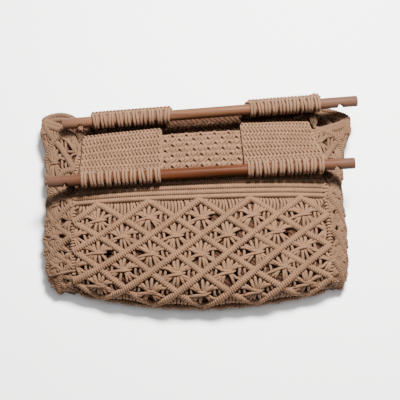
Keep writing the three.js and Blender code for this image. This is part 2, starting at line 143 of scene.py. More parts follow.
# The gussets from mouth to bottom: share of the length, share of the reach, share of the ear
GUSSET_PROFILE = [
    (0.00, 0.10, 0.84), (0.07, 0.30, 0.74), (0.14, 0.62, 0.38), (0.22, 0.90, 0.13),
    (0.35, 0.98, 0.00), (0.60, 1.05, 0.00), (0.85, 0.92, 0.00), (1.00, 0.52, 0.00),
]
# The front straps: angles round the fold at the rim, shares of the yoke and of the way where they lie on it, and
# how far behind and above the dowel's axis they end, in radii of the loops
FRONT_STRAP_FOLD = (0, 50, 90, 130, 175)
FRONT_STRAP_LAID = [(0.12, 0.15), (0.36, 0.5)]
FRONT_STRAP_END = [(1.75, -0.8), (0.92, -0.39)]
# The back straps between rim and dowel: share of the way, share of the rise, shares of the wall behind
BACK_STRAP_BENDS = [(0.25, 0.2, 0.45), (0.5, 0.57, 0), (0.8, 0.87, 0.68)]
STRAP_GRID = (8, 60)
STRAP_PROBE = 0.01

# The dressing: how far cords stand proud of the model, and where its lower layers are closed
HALF_WALL = CLOTH_WALL / 2
HALF_WIDTH = BAG_WIDTH / 2
LOOP_PROUD = 0.9 * MM
FLOOR_LIFT = HALF_WALL + RIDGE_HEIGHT + LOOP_PROUD
RIDGE_LIFT = HALF_WALL * 0.75
PROUD = {"front": 0.9 * MM, "back": -1 * MM}
FLOOR_SHARE = 0.7
RIM_REACH = 11 * MM
REACH_FADE = (0.5, 0.8)
REACH_LEFT = 0.08
RIM_BAND = 10 * MM
RIM_ROWS = (0.22, 0.72)
CLOSED_RIM = 14 * MM
INNER_DEPTH = 70 * MM
LATTICE_HOLE = 1.3 * MM
SQUARE_KNOT_SPAN = (17.3 * MM, 6.6 * MM)
LATTICE_LIFT = HALF_WALL * 0.35
LACING_LIFT = HALF_WALL * 0.4
STAR_LIFT = RIDGE_LIFT * 0.3
BORDER_LIFT = RIDGE_LIFT * 0.5
YOKE_LAYER_LIFT = 0.3 * MM
# A dark sheet inside the back's rim: painted shade for the dark inside of the mouth
SHADE_SHEET_LIFT = -HALF_WALL - 1 * MM
SHADE_SHEET_WALL = 0.8 * MM
STRAP_LAYER_WALL = 1.6 * MM
STITCH_LIFT = 0.28
STRAND_SHARE = 0.49
SEAM_CORD_SHARE = 0.45
NOTCH_TURN = 20
PROBE = 0.5 * MM
# The cords under the loops and along the edges: radius in cord diameters
CORE_RADII = {
    "ridge": 0.86, "mouth": 0.6, "seam": 0.66, "rim": 0.55, "band": 0.72, "lowest band": 0.9, "bottom": 0.9,
    "strap edge": 0.55, "strap end": 0.6,
}
# A net's rising and falling ridges: lift in cord diameters, size of the loops, share left free at each end
RISING = (0.3, (1.12, 1.2, 1.08), 0.0)
FALLING = (-0.03, (1.1, 1.14, 1.04), 0.09)
# The gaps beside a star: places aside and down, half width and half height, in half diamonds
GAP_ASIDE, GAP_DOWN = 0.33, 0.08
GAP_HALF_WIDE, GAP_HALF_HIGH = 0.15, 0.26

# The materials: how bright each cotton is (the gussets' cotton and the frayed fibres' cotton are darkened as
# painted shade), its plies, and where the wood is worn, as distances along the dowel
COTTONS = {"cotton_cord": 1.0, "side_cotton": 0.8, "frayed_cotton": 0.55}
PLIES = 3
CORD_LAY = 9 * MM
WORN_FROM, WORN_TO, WORN_SHARE = 115 * MM, 165 * MM, 0.75

# The stage: each light's size, place from the point that the camera looks at, and colour
KEY_LIGHT = (0.25, (0.2, 0.42, 1.03), (1, 0.97, 0.94))
FILL_LIGHT = (1.2, (0.1, 0, 1.4), (0.96, 0.98, 1))
FLOOR_HALF = 4
SENSOR_WIDTH = 36
NEAREST, FARTHEST = 0.01, 20


def smooth(low, high, value):
    """A soft step from 0 at low to 1 at high."""
    share = np.clip((value - low) / (high - low), 0, 1)
    return share * share * (3 - 2 * share)


def rounded_line(points, pieces=24):
    """A centripetal curve through the points, as a close line of points."""
    points = np.asarray(points, float)
    ends = [2 * points[0] - points[1], *points, 2 * points[-1] - points[-2]]
    shares = np.linspace(0, 1, pieces, endpoint=False)[:, None]
    line = []
    for a, b, c, d in zip(ends, ends[1:], ends[2:], ends[3:]):
        before, here, after = (max(math.sqrt(np.linalg.norm(q - p)), 1e-6) for p, q in ((a, b), (b, c), (c, d)))
        start = ((b - a) / before - (c - a) / (before + here) + (c - b) / here) * here
        stop = ((c - b) / here - (d - b) / (here + after) + (d - c) / after) * here
        square, cube = -3 * b + 3 * c - 2 * start - stop, 2 * b - 2 * c + start + stop
        line.extend(b + start * shares + square * shares**2 + cube * shares**3)
    return np.array([*line, points[-1]])


def walk(line, shares):
    """The points of a line at shares of its length."""
    steps = np.linalg.norm(np.diff(line, axis=0), axis=1)
    reach = np.concatenate([[0], np.cumsum(steps)])
    wanted = np.asarray(shares) * reach[-1]
    return np.stack([np.interp(wanted, reach, column) for column in line.T], -1)


FRONT_LINE = rounded_line([
    (0, (along - BOTTOM_SHARE) * BAG_HEIGHT, height * BAG_DEPTH) for along, height in FRONT_PROFILE
])
FRONT_LENGTH = np.linalg.norm(np.diff(FRONT_LINE, axis=0), axis=1).sum()
NET_LENGTH = FRONT_LENGTH - YOKE_LENGTH - BAND_LENGTH - 2 * JOIN_GAP
BAND_START = YOKE_LENGTH + JOIN_GAP
NET_START = BAND_START + BAND_LENGTH + JOIN_GAP


def front_base(u, v):
    """The front's middle surface: u across from the middle, v down from the rim."""
    u, v = np.broadcast_arrays(np.asarray(u, float), np.asarray(v, float))
    middle = walk(FRONT_LINE, np.clip(v / FRONT_LENGTH, 0, 1))
    side = u / HALF_WIDTH
    at_rim = 1 - smooth(0, YOKE_LENGTH, v)
    sag = RIM_SAG * at_rim**2 * np.cos(np.minimum(1, np.abs(side) * 2) * math.pi / 2)
    bulge = RIM_BULGE * at_rim * np.maximum(0, 1 - 4 * side**2)
    bow = (BOTTOM_BOW * side + BOTTOM_TILT) * side * smooth(NET_START, FRONT_LENGTH, v)
    y = middle[..., 1] + bulge + RIM_TILT * u * at_rim + bow + np.maximum(0, -v)
    z = middle[..., 2] * (1 - CROWN_DROP * np.abs(side) ** 3) - sag
    return np.stack([u * (1 - RIM_NARROW * at_rim), y, z], -1)


def back_base(u, v):
    """The back's middle surface, which lies on the floor and curls up at its rim."""
    u, v = np.broadcast_arrays(np.asarray(u, float), np.asarray(v, float))
    point = front_base(u, v)
    share = np.maximum(0, 1 - v / FRONT_LENGTH)
    point[..., 1] += (BACK_OVERLAP + RIM_TILT * u) * share * (1 - smooth(0, FRONT_LENGTH, v))
    curl = 1 - smooth(0, YOKE_LENGTH * BACK_CURL_SHARE, v)
    corner = smooth(CORNER_SHARE, 1, np.abs(u) / HALF_WIDTH) * curl
    point[..., 1] += np.where(u < 0, CORNER_RISE["left"], CORNER_RISE["right"]) * corner
    point[..., 2] = FLOOR_LIFT + BACK_CURL * curl**BACK_CURL_EASE
    return point


def gusset_base(side):
    """A gusset's middle surface: u from the back seam over the fold to the front seam, v down."""
    sign = SIDES[side]

    def base(u, v):
        u, v = np.broadcast_arrays(np.asarray(u, float), np.asarray(v, float))
        across = np.clip(u / BAG_DEPTH, -1.02, 1.02)
        share = v / FRONT_LENGTH
        front = front_base(sign * (HALF_WIDTH + SEAM_GAP), v)
        back = back_base(sign * (HALF_WIDTH + SEAM_GAP), v)
        along, reach, ear = zip(*GUSSET_PROFILE)
        out = np.interp(share, along, reach) * GUSSET_REACH[side] + np.interp(share, along, ear) * EAR_REACH
        point = back + (front - back) * ((across + 1) / 2)[..., None]
        point[..., 0] += sign * out * (1 - np.abs(across) ** FOLD_ROUNDNESS)
        rise = EAR_RISE[side] * (1 - np.abs(across) ** EAR_ROUNDNESS)
        point[..., 1] += rise * (1 - smooth(0, EAR_SHARE, share))
        return point

    return base


def lifted(base, outward, step=PROBE):
    """A surface with thickness, before the shift: lift is measured along its outward side."""

    def place(u, v, lift):
        u, v, lift = np.broadcast_arrays(*(np.asarray(value, float) for value in (u, v, lift)))
        across = base(u + step, v) - base(u - step, v)
        down = base(u, v + step) - base(u, v - step)
        normal = np.cross(down, across)
        normal /= np.maximum(np.linalg.norm(normal, axis=-1, keepdims=True), 1e-12)
        return base(u, v) + normal * (outward * lift)[..., None]

    return place


def in_frame(place):
    """The same surface where the model has it."""
    return lambda u, v, lift: place(u, v, lift) + SHIFT


# The front dowel's loops rest on the yoke, the back dowel is over the back's rim
LOOP_SEGMENTS = 8
LOOP_GAP = 0.4 * MM
CORD_DIAMETER = 3 * MM
LOOP_OUTER = (DOWEL_DIAMETER / 2 + LOOP_GAP) / math.cos(math.pi / LOOP_SEGMENTS) + CORD_DIAMETER * 0.9
LOOP_HOLD = DOWEL_DIAMETER / 2 + LOOP_GAP + CORD_DIAMETER / 2
FRONT_DOWEL_DROP = 60.5 * MM
BACK_DOWEL_RISE = 30 * MM

bare_front = lifted(front_base, 1)
FRONT_REST = bare_front(0, FRONT_DOWEL_DROP, HALF_WALL + RIDGE_HEIGHT / 2 + JOIN_GAP + LOOP_OUTER)
BACK_RIM = back_base(0, 0) - (0, 0, LOOP_PROUD)
DOWEL_MIDDLE = {
    "front": np.array([DOWEL_SHIFT["front"], FRONT_REST[1], FRONT_REST[2]]),
    "back": np.array([DOWEL_SHIFT["back"], BACK_RIM[1], BACK_RIM[2] + BACK_DOWEL_RISE]),
}
# The model's origin is under the middle of the whole bag, the surfaces' under the middle of the front
SHIFT = np.array(sum(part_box("front_dowel"), Vector()) / 2) - DOWEL_MIDDLE["front"]
on_front, on_back = in_frame(bare_front), in_frame(lifted(back_base, -1))


def dowel_axis(face, x):
    """The point of a dowel's axis at a place along X, before the shift."""
    middle = DOWEL_MIDDLE[face]
    slope = math.tan(math.radians(DOWEL_TURN[face]))
    return np.array([x, middle[1] + (x - middle[0]) * slope, middle[2]])


def strap_across(strap, across, share):
    """Where a place across a strap lies along X: share is 0 at the rim and 1 at the loops."""
    width = strap.pitch * LOOP_PITCH * LOOP_PAIRS
    at_loops = strap.loops * HALF_WIDTH + across * width
    at_rim = strap.rim * HALF_WIDTH + across * width * strap.rim_width
    return at_rim + (at_loops - at_rim) * share


def unit(vector):
    """The vector's direction, with a length of 1."""
    return vector / max(np.linalg.norm(vector), 1e-12)


def front_strap_line(strap, across):
    """The front strap folds over the rim and lies on the yoke."""
    above = HALF_WALL + RIDGE_HEIGHT / 2 + STRAP_CLEARANCE + STRAP_WALL / 2
    rim_u = strap_across(strap, across, 0) / (1 - RIM_NARROW)
    rim = front_base(rim_u, 0)
    out = unit((rim - front_base(rim_u, CORD_DIAMETER)) * (0, 1, 1))
    up = np.array([0, -out[2], out[1]])
    radius = above / 2
    points = []
    for degrees in FRONT_STRAP_FOLD:
        angle = math.radians(degrees)
        beyond = STRAP_CLEARANCE + radius * math.sin(angle)
        points.append(rim + out * beyond + up * radius * (1 - math.cos(angle)))
    for down, share in FRONT_STRAP_LAID:
        x = strap_across(strap, across, share)
        v = YOKE_LENGTH * down
        narrowed = front_base(1.0, v)[0]
        point = bare_front(x / narrowed, v, above)
        points.append(np.array([x, point[1], point[2]]))
    axis = dowel_axis("front", strap_across(strap, across, 1))
    points.extend(axis + (0, LOOP_HOLD * behind, LOOP_HOLD * rise) for behind, rise in FRONT_STRAP_END)
    return rounded_line(points)


def back_strap_line(strap, across):
    """The back strap stands out beyond the mouth and curls up and forward to its dowel."""
    rim_x = strap_across(strap, across, 0)
    rim_u = rim_x / (1 - RIM_NARROW)
    rim = back_base(rim_u, 0)
    rim[0] = rim_x
    out = unit((rim - back_base(rim_u, CORD_DIAMETER)) * (0, 1, 1))
    axis = dowel_axis("back", strap_across(strap, across, 1))
    far = max(rim[1] + strap.curl * STRAP_CURL, axis[1] + STRAP_WALL)
    clear = axis[1] + LOOP_HOLD + STRAP_WALL / 2
    points = [rim + out * JOIN_GAP * 3, rim + out * STRAP_WALL]
    for bend in BACK_STRAP_BENDS:
        along, rise, behind = bend
        y = far - behind * STRAP_WALL
        if bend is BACK_STRAP_BENDS[-1]:
            y = max(y, clear)
        points.append(np.array([rim[0] + (axis[0] - rim[0]) * along, y, rim[2] + (axis[2] - rim[2]) * rise]))
    points.append(axis + (0, LOOP_HOLD + JOIN_GAP, 0))
    return rounded_line(points)


def strap_place(strap):
    """A strap's surface, width and length: u from -0.5 to 0.5 across, v from 0 at the rim to 1 at the loops."""
    line = front_strap_line if strap.face == "front" else back_strap_line
    columns, rows = STRAP_GRID
    along = np.linspace(0, 1, rows + 1)
    grid = np.array([walk(line(strap, across), along) for across in np.linspace(-0.5, 0.5, columns + 1)])

    def base(u, v):
        column, row = np.clip((u + 0.5) * columns, 0, columns - 1e-4), np.clip(v * rows, 0, rows - 1e-4)
        i, j = column.astype(int), row.astype(int)
        a, b = (column - i)[..., None], (row - j)[..., None]
        near = grid[i, j] * (1 - b) + grid[i, j + 1] * b
        far = grid[i + 1, j] * (1 - b) + grid[i + 1, j + 1] * b
        return near * (1 - a) + far * a

    length = np.linalg.norm(np.diff(grid[columns // 2], axis=0), axis=1).sum()
    width = np.linalg.norm(grid[columns, rows // 2] - grid[0, rows // 2])
    return in_frame(lifted(base, -1, STRAP_PROBE)), width, length


def length_property(name, description, default, low, high):
    """A property that is a length in metres."""
    return FloatProperty(name=name, description=description, default=default, min=low, max=high, unit="LENGTH")


def colour_property(name, description, default):
    """A property that is a colour."""
    return FloatVectorProperty(name=name, description=description, default=default, min=0, max=1, subtype="COLOR")


class HandbagSizes(bpy.types.PropertyGroup):
    """Sizes of the cords and knots."""

    cord: length_property("Cord diameter", "Thickness of the cotton cord", CORD_DIAMETER, 1 * MM, 6 * MM)
    cord_sides: IntProperty(name="Cord sides", description="Faces round a cord", default=6, min=4, max=12)
    hitch_pitch: length_property(
        "Hitch pitch", "Distance between the loops along a ridge", 2.65 * MM, 1 * MM, 6 * MM)
    band_pitch: length_property(
        "Band pitch", "Distance between the pairs of loops along a band ridge", 5 * MM, 1 * MM, 6 * MM)
    lattice_pitch: length_property(
        "Lattice pitch", "Distance between square knots across the yoke", 17.3 * MM, 10 * MM, 30 * MM)
    lattice_row: length_property(
        "Lattice row", "Distance between rows of square knots", 7 * MM, 4 * MM, 12 * MM)
    border_pitch: length_property(
        "Border pitch", "Distance between the cords that hang from the band", 3.9 * MM, 2 * MM, 10 * MM)
    lacing_pitch: length_property(
        "Lacing pitch", "Distance between the loops along a side seam", 4.2 * MM, 2 * MM, 10 * MM)
    stitch_pitch: length_property(
        "Strap stitch pitch", "Distance between stitches across a strap", 4.2 * MM, 3 * MM, 8 * MM)
    stitch_row: length_property(
        "Strap stitch row", "Distance between rows of stitches", 5.6 * MM, 3 * MM, 9 * MM)
    slack: FloatProperty(
        name="Slack", description="How unevenly the strands lie, as a share of the cord",
        default=0.13, min=0, max=0.5)
    fibres: IntProperty(name="Fibres", description="Fibres in each frayed end", default=90, min=20, max=400)
    seed: IntProperty(name="Seed", description="Seed of everything uneven", default=7, min=0)


class HandbagColours(bpy.types.PropertyGroup):
    """Colours of cord, wood and floor."""

    cotton: colour_property("Cotton", "Lit colour of the cord", (0.146, 0.08, 0.0458))
    # The darker cotton colour serves random patches and painted shade in the grooves between the plies
    cotton_dark: colour_property("Cotton, shaded", "Colour of the cord's darker places", (0.09, 0.046, 0.0255))
    # The lower layer's colour is painted shade: the dark of the gaps between the knots
    gaps: colour_property("Gaps", "Colour of the lower layer between the knots", (0.034, 0.0155, 0.0088))
    front_wood: colour_property("Front dowel", "Colour of the front dowel", (0.049, 0.0148, 0.0056))
    back_wood: colour_property("Back dowel", "Colour of the back dowel", (0.088, 0.039, 0.02))
    worn_wood: colour_property("Worn ends", "Colour of both dowels near their ends", (0.07, 0.037, 0.025))
    floor: colour_property("Floor", "Colour of the pale floor", (0.9, 0.9, 0.9))


class HandbagStage(bpy.types.PropertyGroup):
    """Camera and light."""

    elevation: FloatProperty(
        name="Camera height", description="Angle of the view above the floor",
        default=math.radians(70), subtype="ANGLE")
    azimuth: FloatProperty(
        name="Camera side", description="Angle of the view round the bag",
        default=math.radians(2), subtype="ANGLE")
    distance: length_property("Camera distance", "From the camera to the bag's middle", 1.0, 0.3, 5)
    lens: FloatProperty(
        name="Lens", description="Focal length for a 36 mm sensor", default=79.4, min=20, max=200)
    target_height: length_property(
        "Target height", "Height of the point that the camera looks at", 40 * MM, 0, 1)
    key_power: FloatProperty(name="Key light", description="Power of the small light over the mouth", default=78)
    fill_power: FloatProperty(name="Fill light", description="Power of the broad light over the bag", default=12)
    world: FloatProperty(name="Surrounding light", description="Strength of the pale surroundings", default=0.16)


def new_tree(name, inputs):
    """An empty Geometry Nodes tree with named inputs, its first one and its output being geometry."""
    tree = bpy.data.node_groups.new(name, "GeometryNodeTree")
    tree.is_modifier = True
    for label, kind in [("Geometry", "NodeSocketGeometry"), *inputs]:
        tree.interface.new_socket(label, in_out="INPUT", socket_type=kind)
    tree.interface.new_socket("Geometry", in_out="OUTPUT", socket_type="NodeSocketGeometry")
    return tree, tree.nodes.new("NodeGroupInput"), tree.nodes.new("NodeGroupOutput")


def add_node(tree, kind, values=None, links=None, **settings):
    """A node with its settings, plain values and incoming links by socket name."""
    node = tree.nodes.new(kind)
    for name, value in settings.items():
        setattr(node, name, value)
    for name, value in (values or {}).items():
        node.inputs[name].default_value = value
    for name, source in (links or {}).items():
        tree.links.new(source, node.inputs[name])
    return node


def calculate(tree, operation, *terms):
    """The result of a Math node on sockets and plain numbers."""
    node = tree.nodes.new("ShaderNodeMath")
    node.operation = operation
    for socket, term in zip(node.inputs, terms):
        if isinstance(term, bpy.types.NodeSocket):
            tree.links.new(term, socket)
        else:
            socket.default_value = term
    return node.outputs[0]
def finish_tree(tree, group, geometry, out):
    """Ends a tree with Realize Instances and Set Material."""
    real = add_node(tree, "GeometryNodeRealizeInstances", links={"Geometry": geometry})
    painted = add_node(tree, "GeometryNodeSetMaterial", links={
        "Geometry": real.outputs["Geometry"], "Material": group.outputs["Material"]})
    tree.links.new(painted.outputs["Geometry"], out.inputs["Geometry"])


def strand_tree():
    """Turns lines with a thickness into round cords that know their length and their round."""
    tree, group, out = new_tree("Cord strands", [
        ("Sides", "NodeSocketInt"), ("Material", "NodeSocketMaterial")])
    curve = add_node(tree, "GeometryNodeMeshToCurve", links={"Mesh": group.outputs["Geometry"]})
    length = add_node(tree, "GeometryNodeSplineParameter")
    marked = add_node(
        tree, "GeometryNodeStoreNamedAttribute", {"Name": "cord_length"},
        {"Geometry": curve.outputs["Curve"], "Value": length.outputs["Length"]},
        data_type="FLOAT", domain="POINT")
    circle = add_node(
        tree, "GeometryNodeCurvePrimitiveCircle", {"Radius": 1.0}, {"Resolution": group.outputs["Sides"]})
    place = add_node(tree, "GeometryNodeInputPosition")
    ring = add_node(
        tree, "GeometryNodeStoreNamedAttribute", {"Name": "cord_ring"},
        {"Geometry": circle.outputs["Curve"], "Value": place.outputs["Position"]},
        data_type="FLOAT_VECTOR", domain="POINT")
    thickness = add_node(
        tree, "GeometryNodeInputNamedAttribute", {"Name": "thickness"}, data_type="FLOAT")
    tube = add_node(tree, "GeometryNodeCurveToMesh", {"Fill Caps": True}, {
        "Curve": marked.outputs["Geometry"], "Profile Curve": ring.outputs["Geometry"],
        "Scale": thickness.outputs["Attribute"]})
    smoothed = add_node(tree, "GeometryNodeSetShadeSmooth", links={"Geometry": tube.outputs["Mesh"]})
    finish_tree(tree, group, smoothed.outputs["Geometry"], out)
    return tree


def knot_tree():
    """Puts one knot on each point, turned and sized as the point says, with a little unevenness."""
    tree, group, out = new_tree("Knots on points", [
        ("Knot", "NodeSocketObject"), ("Unevenness", "NodeSocketFloat"), ("Seed", "NodeSocketInt"),
        ("Material", "NodeSocketMaterial")])
    knot = add_node(tree, "GeometryNodeObjectInfo", links={"Object": group.outputs["Knot"]})
    turn = add_node(tree, "GeometryNodeInputNamedAttribute", {"Name": "turn"}, data_type="FLOAT_VECTOR")
    size = add_node(tree, "GeometryNodeInputNamedAttribute", {"Name": "size"}, data_type="FLOAT_VECTOR")
    straight = add_node(tree, "FunctionNodeEulerToRotation", links={"Euler": turn.outputs["Attribute"]})
    lowest = calculate(tree, "MULTIPLY", group.outputs["Unevenness"], -1)
    chance = add_node(tree, "FunctionNodeRandomValue", links={
        "Min": lowest, "Max": group.outputs["Unevenness"], "Seed": group.outputs["Seed"]},
        data_type="FLOAT_VECTOR")
    bent = add_node(tree, "FunctionNodeEulerToRotation", links={"Euler": chance.outputs["Value"]})
    rotation = add_node(tree, "FunctionNodeRotateRotation", links={
        "Rotation": straight.outputs["Rotation"], "Rotate By": bent.outputs["Rotation"]}, rotation_space="LOCAL")
    placed = add_node(tree, "GeometryNodeInstanceOnPoints", links={
        "Points": group.outputs["Geometry"], "Instance": knot.outputs["Geometry"],
        "Rotation": rotation.outputs["Rotation"], "Scale": size.outputs["Attribute"]})
    finish_tree(tree, group, placed.outputs["Instances"], out)
    return tree


def shared_tree(name, build):
    """The tree of that name, built when it is first asked for."""
    return bpy.data.node_groups.get(name) or build()


def add_object(name, mesh):
    """A new object in the scene."""
    found = bpy.data.objects.new(name, mesh)
    bpy.context.scene.collection.objects.link(found)
    return found


def bake(piece):
    """Keeps what a piece's modifiers make of it as its plain mesh, and removes them."""
    bpy.context.view_layer.update()
    graph = bpy.context.evaluated_depsgraph_get()
    mesh = bpy.data.meshes.new_from_object(piece.evaluated_get(graph), depsgraph=graph)
    piece.modifiers.clear()
    old = piece.data
    piece.data = mesh
    bpy.data.meshes.remove(old)
    mesh.name = piece.name
    return mesh


def bake_tree(piece, tree, inputs):
    """Runs a tree on a piece with its inputs set by identifier and keeps the result as a plain mesh."""
    modifier = piece.modifiers.new(tree.name, "NODES")
    modifier.node_group = tree
    for item in tree.interface.items_tree:
        if item.item_type == "SOCKET" and item.in_out == "INPUT" and item.name in inputs:
            modifier[item.identifier] = inputs[item.name]
    mesh = bake(piece)
    for spare in ("turn", "size", "thickness"):
        if spare in mesh.attributes:
            mesh.attributes.remove(mesh.attributes[spare])
    return piece


class Skein:
    """Strands gathered for one piece, each a line of control points with a thickness."""

    def __init__(self, seed=0, slack=0.0):
        self.chance = np.random.default_rng(seed)
        self.slack = slack
        self.lines, self.radii, self.closed = [], [], []

    def add(self, points, radius, count=7, taper=1.0, closed=False):
        """A strand through the points; taper is the thickness at its ends as a share."""
        points = np.array(points, float)
        if self.slack and len(points) > 2:
            points[1:-1] += self.chance.normal(0, self.slack * 0.5, points[1:-1].shape)
        line = points if closed else walk(rounded_line(points, 6), np.linspace(0, 1, count))
        share = np.abs(np.linspace(-1, 1, len(line)))
        self.lines.append(line)
        self.radii.append(radius * (1 - (1 - taper) * share**4))
        self.closed.append(closed)

    def placed(self, place):
        """Moves every line from a surface's own measures to where it lies."""
        flat = np.concatenate(self.lines)
        moved = place(flat[:, 0], flat[:, 1], flat[:, 2])
        ends = np.cumsum([len(line) for line in self.lines])[:-1]
        self.lines = np.split(moved, ends)
        return self

    def into(self, name, material=None, sides=0):
        """The strands as a piece of round cords, by default of the bag's cotton and with the usual sides."""
        points = np.concatenate(self.lines)
        edges, first = [], 0
        for line, closed in zip(self.lines, self.closed):
            edges.extend((k, k + 1) for k in range(first, first + len(line) - 1))
            if closed:
                edges.append((first + len(line) - 1, first))
            first += len(line)
        mesh = bpy.data.meshes.new(name)
        mesh.from_pydata(points.tolist(), edges, [])
        mesh.attributes.new("thickness", "FLOAT", "POINT").data.foreach_set(
            "value", np.concatenate(self.radii).astype(np.float32))
        return bake_tree(add_object(name, mesh), shared_tree("Cord strands", strand_tree), {
            "Sides": sides or bpy.context.scene.handbag_sizes.cord_sides, "Material": material or cotton()})


def knots_on(name, knot, spots, unevenness=0.06, luck=0, material=None):
    """One knot on each spot; a spot is a place, the direction of its X, its outward side and its size."""
    mesh = bpy.data.meshes.new(name)
    places, alongs, outs, sizes = (np.concatenate([np.atleast_2d(spot[k]) for spot in spots]) for k in range(4))
    mesh.from_pydata(places.tolist(), [], [])
    turns = []
    for along, out in zip(alongs, outs):
        third = unit(np.cross(out, along))
        first = unit(np.cross(third, out))
        turns.append(Matrix((first, third, unit(out))).transposed().to_euler())
    for label, values in (("turn", turns), ("size", sizes)):
        mesh.attributes.new(label, "FLOAT_VECTOR", "POINT").data.foreach_set(
            "vector", np.array(values, np.float32).ravel())
    return bake_tree(add_object(name, mesh), shared_tree("Knots on points", knot_tree), {
        "Knot": knot, "Unevenness": unevenness, "Seed": bpy.context.scene.handbag_sizes.seed + luck,
        "Material": material or cotton()})


def even_steps(place, first, last, pitch, trim=0.0):
    """Places from first to last in a surface's measures, evenly spaced on the surface itself."""
    fine = np.asarray(first) + np.subtract(last, first) * np.linspace(trim, 1 - trim, 33)[:, None]
    steps = np.linalg.norm(np.diff(place(fine[:, 0], fine[:, 1], 0), axis=0), axis=1)
    reach = np.concatenate([[0], np.cumsum(steps)])
    count = max(2, round(reach[-1] / pitch))
    wanted = (np.arange(count) + 0.5) / count * reach[-1]
    return np.column_stack([np.interp(wanted, reach, column) for column in fine.T])


def spots_on(place, u, v, lift, direction, size=(1, 1, 1)):
    """Spots on a surface: direction is where their X points, in the surface's own measures."""
    u, v = np.atleast_1d(u).astype(float), np.atleast_1d(v).astype(float)
    step = PROBE * np.asarray(direction, float) / max(np.linalg.norm(direction), 1e-12)
    here = place(u, v, lift)
    along = place(u + step[0], v + step[1], lift) - place(u - step[0], v - step[1], lift)
    out = place(u, v, lift + PROBE) - here
    return here, along, out, np.tile(np.asarray(size, float), (len(u), 1))


def turned_over(spots):
    """The same spots on the inner side."""
    here, along, out, size = spots
    return here, along, -out, size


def alternate(count, pitch, row):
    """Places across for one row of knots, half a pitch aside from the next row's."""
    return (np.arange(count) - (count - 1) / 2 + (0.25 if row % 2 else -0.25)) * pitch


def crossing(v, lift):
    """A line straight across front or back."""
    return [(u, v, lift) for u in np.linspace(-HALF_WIDTH, HALF_WIDTH, 40)]


def keep(piece, node):
    """Fits a finished piece into the frame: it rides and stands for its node."""
    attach(piece, BODY)
    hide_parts(node)


def shader(name, values):
    """A new material, its tree and its Principled shader with these values."""
    material = bpy.data.materials.new(name)
    material.use_nodes = True
    tree = material.node_tree
    surface = tree.nodes["Principled BSDF"]
    for label, value in values.items():
        surface.inputs[label].default_value = value
    return material, tree, surface


def blended(tree, factor, first, second):
    """The colour between two colours, of which the first may be a socket."""
    node = add_node(tree, "ShaderNodeMix", links={"Factor": factor}, data_type="RGBA")
    if isinstance(first, bpy.types.NodeSocket):
        tree.links.new(first, node.inputs[6])
    else:
        node.inputs[6].default_value = (*first, 1)
    node.inputs[7].default_value = (*second, 1)
    return node.outputs[2]


def bumped(tree, strength, depth, height, normal=None):
    """The normal of a surface with this height, on top of another normal if there is one."""
    node = add_node(tree, "ShaderNodeBump", {"Strength": strength, "Distance": depth}, {"Height": height})
    if normal:
        tree.links.new(normal, node.inputs["Normal"])
    return node.outputs["Normal"]


def scaled(colour, share):
    """A colour with its values times a share."""
    return [min(1, share * value) for value in colour]


def cotton(name="cotton_cord"):
    """The cotton of that name, made when it is first asked for."""
    return bpy.data.materials.get(name) or cotton_material(name, COTTONS[name])


def cotton_material(name, share):
    """Undyed cotton cord: twisted plies, fine fibres, soft sheen and uneven colour, with painted shade in the
    grooves between the plies; share darkens it, as painted shade on the gussets and tufts.
    """
    colours = bpy.context.scene.handbag_colours
    material, tree, surface = shader(name, {
        "Roughness": 0.92, "Specular IOR Level": 0.1,
        "Sheen Weight": 0.06, "Sheen Roughness": 0.5, "Sheen Tint": (1.0, 0.88, 0.74, 1)})
    place = add_node(tree, "ShaderNodeTexCoord").outputs["Object"]
    patches = add_node(tree, "ShaderNodeTexNoise", {"Scale": 70.0, "Detail": 3.0}, {"Vector": place})
    fibres = add_node(tree, "ShaderNodeTexNoise", {"Scale": 1500.0, "Detail": 2.0}, {"Vector": place})
    ring = add_node(tree, "ShaderNodeAttribute", attribute_name="cord_ring").outputs["Vector"]
    length = add_node(tree, "ShaderNodeAttribute", attribute_name="cord_length").outputs["Fac"]
    parts = add_node(tree, "ShaderNodeSeparateXYZ", links={"Vector": ring})
    angle = calculate(tree, "ARCTAN2", parts.outputs["Y"], parts.outputs["X"])
    plies = calculate(tree, "MULTIPLY", angle, PLIES)
    turns = calculate(tree, "MULTIPLY", length, 2 * math.pi * PLIES / CORD_LAY)
    twist = calculate(tree, "SINE", calculate(tree, "ADD", plies, turns))
    groove = add_node(tree, "ShaderNodeMapRange", {"From Min": -1.0, "From Max": 0.2}, {"Value": twist})
    # A share of the groove darkens the colour: painted shade in the grooves between the plies
    groove_shade = calculate(tree, "MULTIPLY", groove.outputs["Result"], 0.45)
    shade = calculate(tree, "ADD", patches.outputs["Fac"], groove_shade)
    ramp = add_node(tree, "ShaderNodeMapRange", {"From Min": 0.38, "From Max": 0.98}, {"Value": shade})
    colour = blended(
        tree, ramp.outputs["Result"], scaled(colours.cotton_dark, share), scaled(colours.cotton, share))
    low = bumped(tree, 0.55, 0.35 * MM, groove.outputs["Result"])
    fine = bumped(tree, 0.5, 0.12 * MM, fibres.outputs["Fac"], low)
    tree.links.new(colour, surface.inputs["Base Color"])
    tree.links.new(fine, surface.inputs["Normal"])
    return material


def ground_material(name):
    """The lower layer of cords between the knots, painted dark as the shade in the gaps."""
    gaps = bpy.context.scene.handbag_colours.gaps
    material, tree, surface = shader(name, {"Roughness": 0.97, "Specular IOR Level": 0.1})
    place = add_node(tree, "ShaderNodeTexCoord").outputs["Object"]
    strands = add_node(
        tree, "ShaderNodeTexWave", {"Scale": 105.0, "Distortion": 2.5, "Detail": 1.0, "Detail Scale": 1.5},
        {"Vector": place}, bands_direction="DIAGONAL").outputs["Fac"]
    tree.links.new(blended(tree, strands, scaled(gaps, 0.6), scaled(gaps, 1.5)), surface.inputs["Base Color"])
    tree.links.new(bumped(tree, 0.8, 0.8 * MM, strands), surface.inputs["Normal"])
    return material


